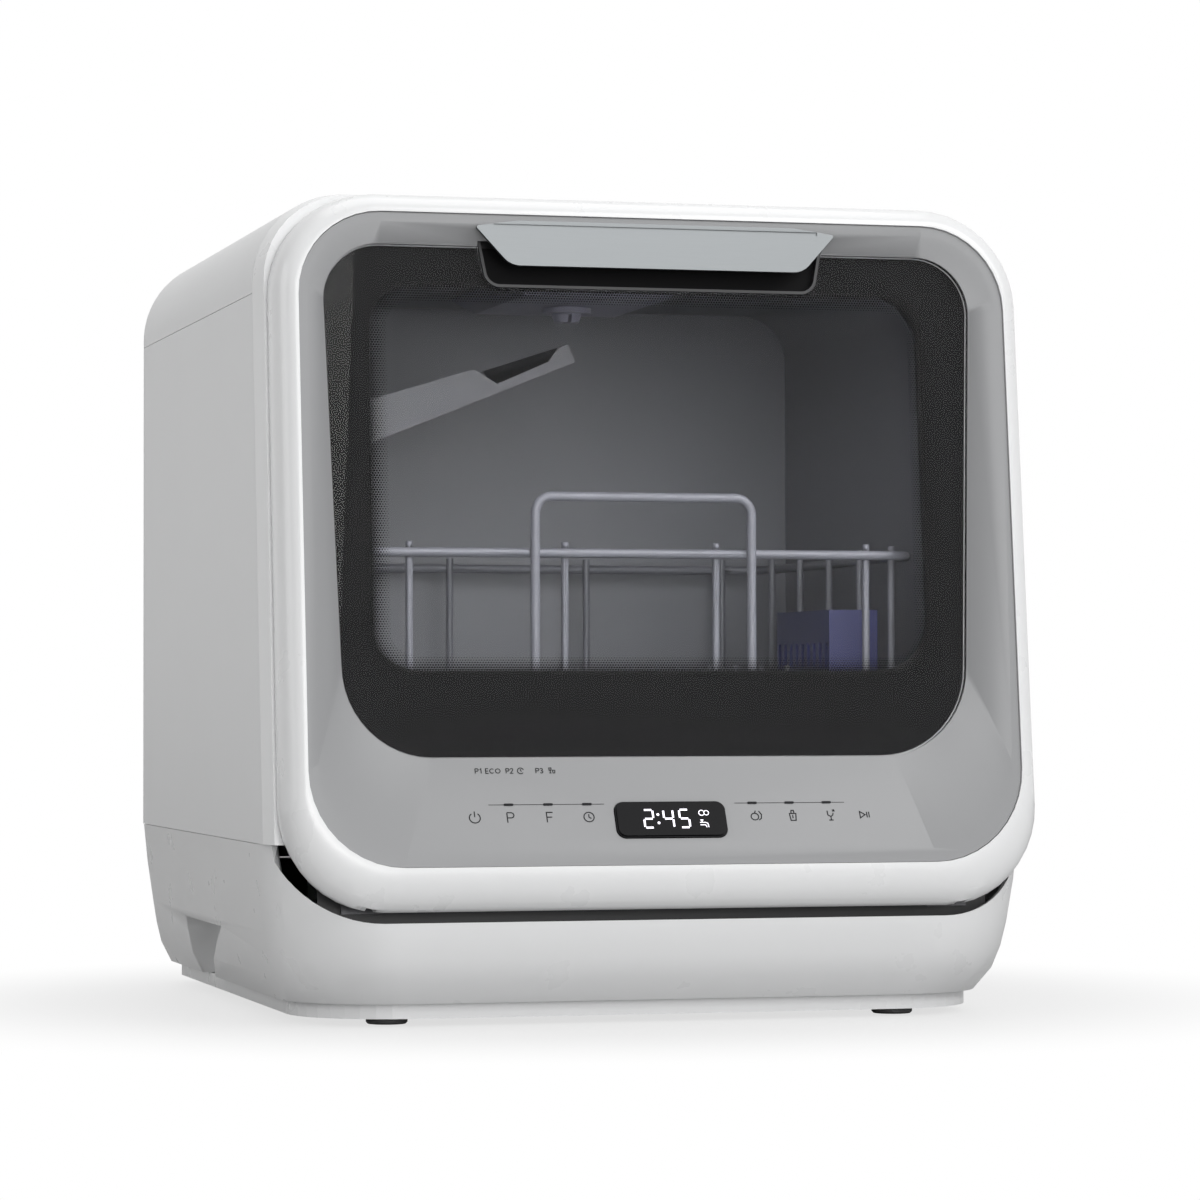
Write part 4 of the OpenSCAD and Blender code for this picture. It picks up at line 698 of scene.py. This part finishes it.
def halftone_tree():
    """Geometry nodes: a prism on each point of a lattice, wide at the window's printed edge and small inside it."""
    tree = bpy.data.node_groups.new("halftone_dots", "GeometryNodeTree")
    tree.interface.new_socket("Lattice", in_out="INPUT", socket_type="NodeSocketGeometry")
    for label in ("Half width", "Half height", "Corner radius", "Band inside", "Band outside", "Widest", "Narrowest",
                  "Thickness"):
        tree.interface.new_socket(label, in_out="INPUT", socket_type="NodeSocketFloat")
    tree.interface.new_socket("Ink", in_out="INPUT", socket_type="NodeSocketMaterial")
    tree.interface.new_socket("Dots", in_out="OUTPUT", socket_type="NodeSocketGeometry")
    given, result = tree.nodes.new("NodeGroupInput"), tree.nodes.new("NodeGroupOutput")
    link = tree.links.new
    place = tree.nodes.new("ShaderNodeSeparateXYZ")
    link(tree.nodes.new("GeometryNodeInputPosition").outputs[0], place.inputs[0])
    reach = []
    for axis, half in (("X", "Half width"), ("Y", "Half height")):
        straight = math_node(tree, "SUBTRACT", given.outputs[half], given.outputs["Corner radius"])
        reach.append(math_node(tree, "SUBTRACT", math_node(tree, "ABSOLUTE", place.outputs[axis]), straight))
    over = [math_node(tree, "MAXIMUM", side, 0.0) for side in reach]
    squares = [math_node(tree, "MULTIPLY", side, side) for side in over]
    corner = math_node(tree, "SQRT", math_node(tree, "ADD", *squares))
    inner = math_node(tree, "MINIMUM", math_node(tree, "MAXIMUM", *reach), 0.0)
    away = math_node(tree, "SUBTRACT", math_node(tree, "ADD", corner, inner), given.outputs["Corner radius"])
    size = tree.nodes.new("ShaderNodeMapRange")
    link(away, size.inputs["Value"])
    link(math_node(tree, "MULTIPLY", given.outputs["Band inside"], -1.0), size.inputs["From Min"])
    link(given.outputs["Band outside"], size.inputs["From Max"])
    link(given.outputs["Narrowest"], size.inputs["To Min"])
    link(given.outputs["Widest"], size.inputs["To Max"])
    within = math_node(tree, "LESS_THAN", away, given.outputs["Band outside"])
    beyond = math_node(tree, "GREATER_THAN", away, math_node(tree, "MULTIPLY", given.outputs["Band inside"], -1.0))
    chosen = math_node(tree, "MULTIPLY", within, beyond)
    dot = tree.nodes.new("GeometryNodeMeshCylinder")
    dot.inputs["Vertices"].default_value = 6
    dot.inputs["Radius"].default_value = 1.0
    link(given.outputs["Thickness"], dot.inputs["Depth"])
    spread = tree.nodes.new("GeometryNodeInstanceOnPoints")
    link(given.outputs["Lattice"], spread.inputs["Points"])
    link(chosen, spread.inputs["Selection"])
    link(dot.outputs["Mesh"], spread.inputs["Instance"])
    scale = tree.nodes.new("ShaderNodeCombineXYZ")
    link(size.outputs["Result"], scale.inputs["X"])
    link(size.outputs["Result"], scale.inputs["Y"])
    scale.inputs["Z"].default_value = 1.0
    link(scale.outputs[0], spread.inputs["Scale"])
    real = tree.nodes.new("GeometryNodeRealizeInstances")
    link(spread.outputs["Instances"], real.inputs[0])
    inked = tree.nodes.new("GeometryNodeSetMaterial")
    link(real.outputs[0], inked.inputs["Geometry"])
    link(given.outputs["Ink"], inked.inputs["Material"])
    link(inked.outputs[0], result.inputs["Dots"])
    return tree


def grown_mesh(name, seed, tree, values):
    """The plain mesh that a geometry-nodes tree makes of a mesh, with its inputs given by name."""
    draft = bpy.data.objects.new(name + "_draft", seed)
    bpy.context.scene.collection.objects.link(draft)
    grown = draft.modifiers.new("grown", "NODES")
    grown.node_group = tree
    for row in tree.interface.items_tree:
        if row.in_out == "INPUT" and row.name in values:
            grown[row.identifier] = values[row.name]
    bpy.context.view_layer.update()
    mesh = bpy.data.meshes.new_from_object(draft.evaluated_get(bpy.context.evaluated_depsgraph_get()))
    bpy.data.objects.remove(draft)
    mesh.name = name
    return mesh


def halftone_dots():
    """Staggered print dots that let the window fade into the black border."""
    half_height = (WINDOW_HIGH - WINDOW_LOW) / 2
    row_pitch = DOT_PITCH * math.sqrt(3) / 2
    rows = int((half_height + HALFTONE) / row_pitch) + 1
    columns = int((WINDOW_HW + HALFTONE) / DOT_PITCH) + 1
    points = [((i + 0.5 * (j % 2)) * DOT_PITCH, j * row_pitch, 0)
              for j in range(-rows, rows + 1) for i in range(-columns, columns + 1)]
    lattice = bpy.data.meshes.new("lattice")
    lattice.from_pydata(points, [], [])
    mesh = grown_mesh("window_dots", lattice, halftone_tree(), {
        "Half width": WINDOW_HW, "Half height": half_height, "Corner radius": WINDOW_R, "Band inside": DOT_BAND,
        "Band outside": HALFTONE + 0.6 * MM, "Widest": WIDEST_DOT, "Narrowest": NARROWEST_DOT,
        "Thickness": PRINT_T - 0.06 * MM, "Ink": GLASS_PRINT})
    middle = (WINDOW_HIGH + WINDOW_LOW) / 2 - GLASS_HIGH
    mesh.transform(ON_GLASS @ Matrix.Translation((0, GLASS_T + PRINT_T / 2 + 0.02 * MM, middle))
                   @ Matrix.Rotation(math.pi / 2, 4, "X"))
    mesh_piece("window_dots", mesh, "display_black", "door", GLASS_PRINT)


GLASS_PRINT = moulded("black_glass_print", (0.006, 0.006, 0.0065), 0.5, 0.5, 0.0, specular=0.06)
mesh_piece("glass_border", border_mesh(), "display_black", "door", GLASS_PRINT)
halftone_dots()


# ---------------------------------------------------------------- webs over the hinge arms' pockets
def domed_web(name, centre, normal, across, up, thick, slot_name, body):
    """A thin oval web with a rounded rim, lying square to a direction."""
    turn = Vector(normal).to_track_quat("Z", "Y").to_matrix().to_4x4()
    shape = bmesh.new()
    bmesh.ops.create_icosphere(shape, subdivisions=3, radius=1.0)
    for vert in shape.verts:
        depth = math.copysign(math.sqrt(abs(vert.co.z)), vert.co.z)
        vert.co = Vector((vert.co.x * across, vert.co.y * up, depth * thick / 2))
    mesh = bpy.data.meshes.new(name)
    shape.to_mesh(mesh)
    shape.free()
    mesh.transform(Matrix.Translation(centre) @ turn)
    mesh.shade_smooth()
    mesh_piece(name, mesh, slot_name, body)


for side, word in ((-1, "left"), (1, "right")):
    domed_web("hinge_web_" + word, Vector((side * 165.6, -216.75, 71.0)) * MM, (side * 0.11, -0.93, -0.35),
              2.6 * MM, 1.7 * MM, 0.7 * MM, "white_plastic", "door")


# ---------------------------------------------------------------- floor
def studio_floor():
    """Pale floor that keeps the shadow and fades into the white surround."""
    mesh = bpy.data.meshes.new("floor")
    reach, sides = 9.0, 96
    turns = [2 * math.pi * i / sides for i in range(sides)]
    ring = [(reach * math.cos(turn), reach * math.sin(turn), 0) for turn in turns]
    mesh.from_pydata(ring, [], [tuple(range(sides))])
    floor = bpy.data.objects.new("floor", mesh)
    bpy.context.scene.collection.objects.link(floor)
    material = bpy.data.materials.new("studio_floor")
    material.use_nodes = True
    tree = material.node_tree
    shader = tree.nodes["Principled BSDF"]
    shader.inputs["Base Color"].default_value = (0.5, 0.5, 0.5, 1)
    shader.inputs["Roughness"].default_value = 0.5
    shader.inputs["Specular IOR Level"].default_value = 0.25
    white = tree.nodes.new("ShaderNodeEmission")
    white.inputs["Strength"].default_value = 1.0
    mix = tree.nodes.new("ShaderNodeMixShader")
    path = tree.nodes.new("ShaderNodeLightPath")
    place = tree.nodes.new("ShaderNodeTexCoord").outputs["Object"]
    distance = tree.nodes.new("ShaderNodeVectorMath")
    distance.operation = "LENGTH"
    tree.links.new(place, distance.inputs[0])
    fade = tree.nodes.new("ShaderNodeMapRange")
    fade.interpolation_type = "SMOOTHSTEP"
    for label, value in (("From Min", 0.22), ("From Max", 0.46), ("To Min", 0.70), ("To Max", 1.0)):
        fade.inputs[label].default_value = value
    tree.links.new(distance.outputs["Value"], fade.inputs["Value"])
    share = math_node(tree, "MULTIPLY", fade.outputs["Result"], path.outputs["Is Camera Ray"])
    tree.links.new(share, mix.inputs[0])
    tree.links.new(shader.outputs[0], mix.inputs[1])
    tree.links.new(white.outputs[0], mix.inputs[2])
    tree.links.new(mix.outputs[0], tree.nodes["Material Output"].inputs["Surface"])
    mesh.materials.append(material)


studio_floor()
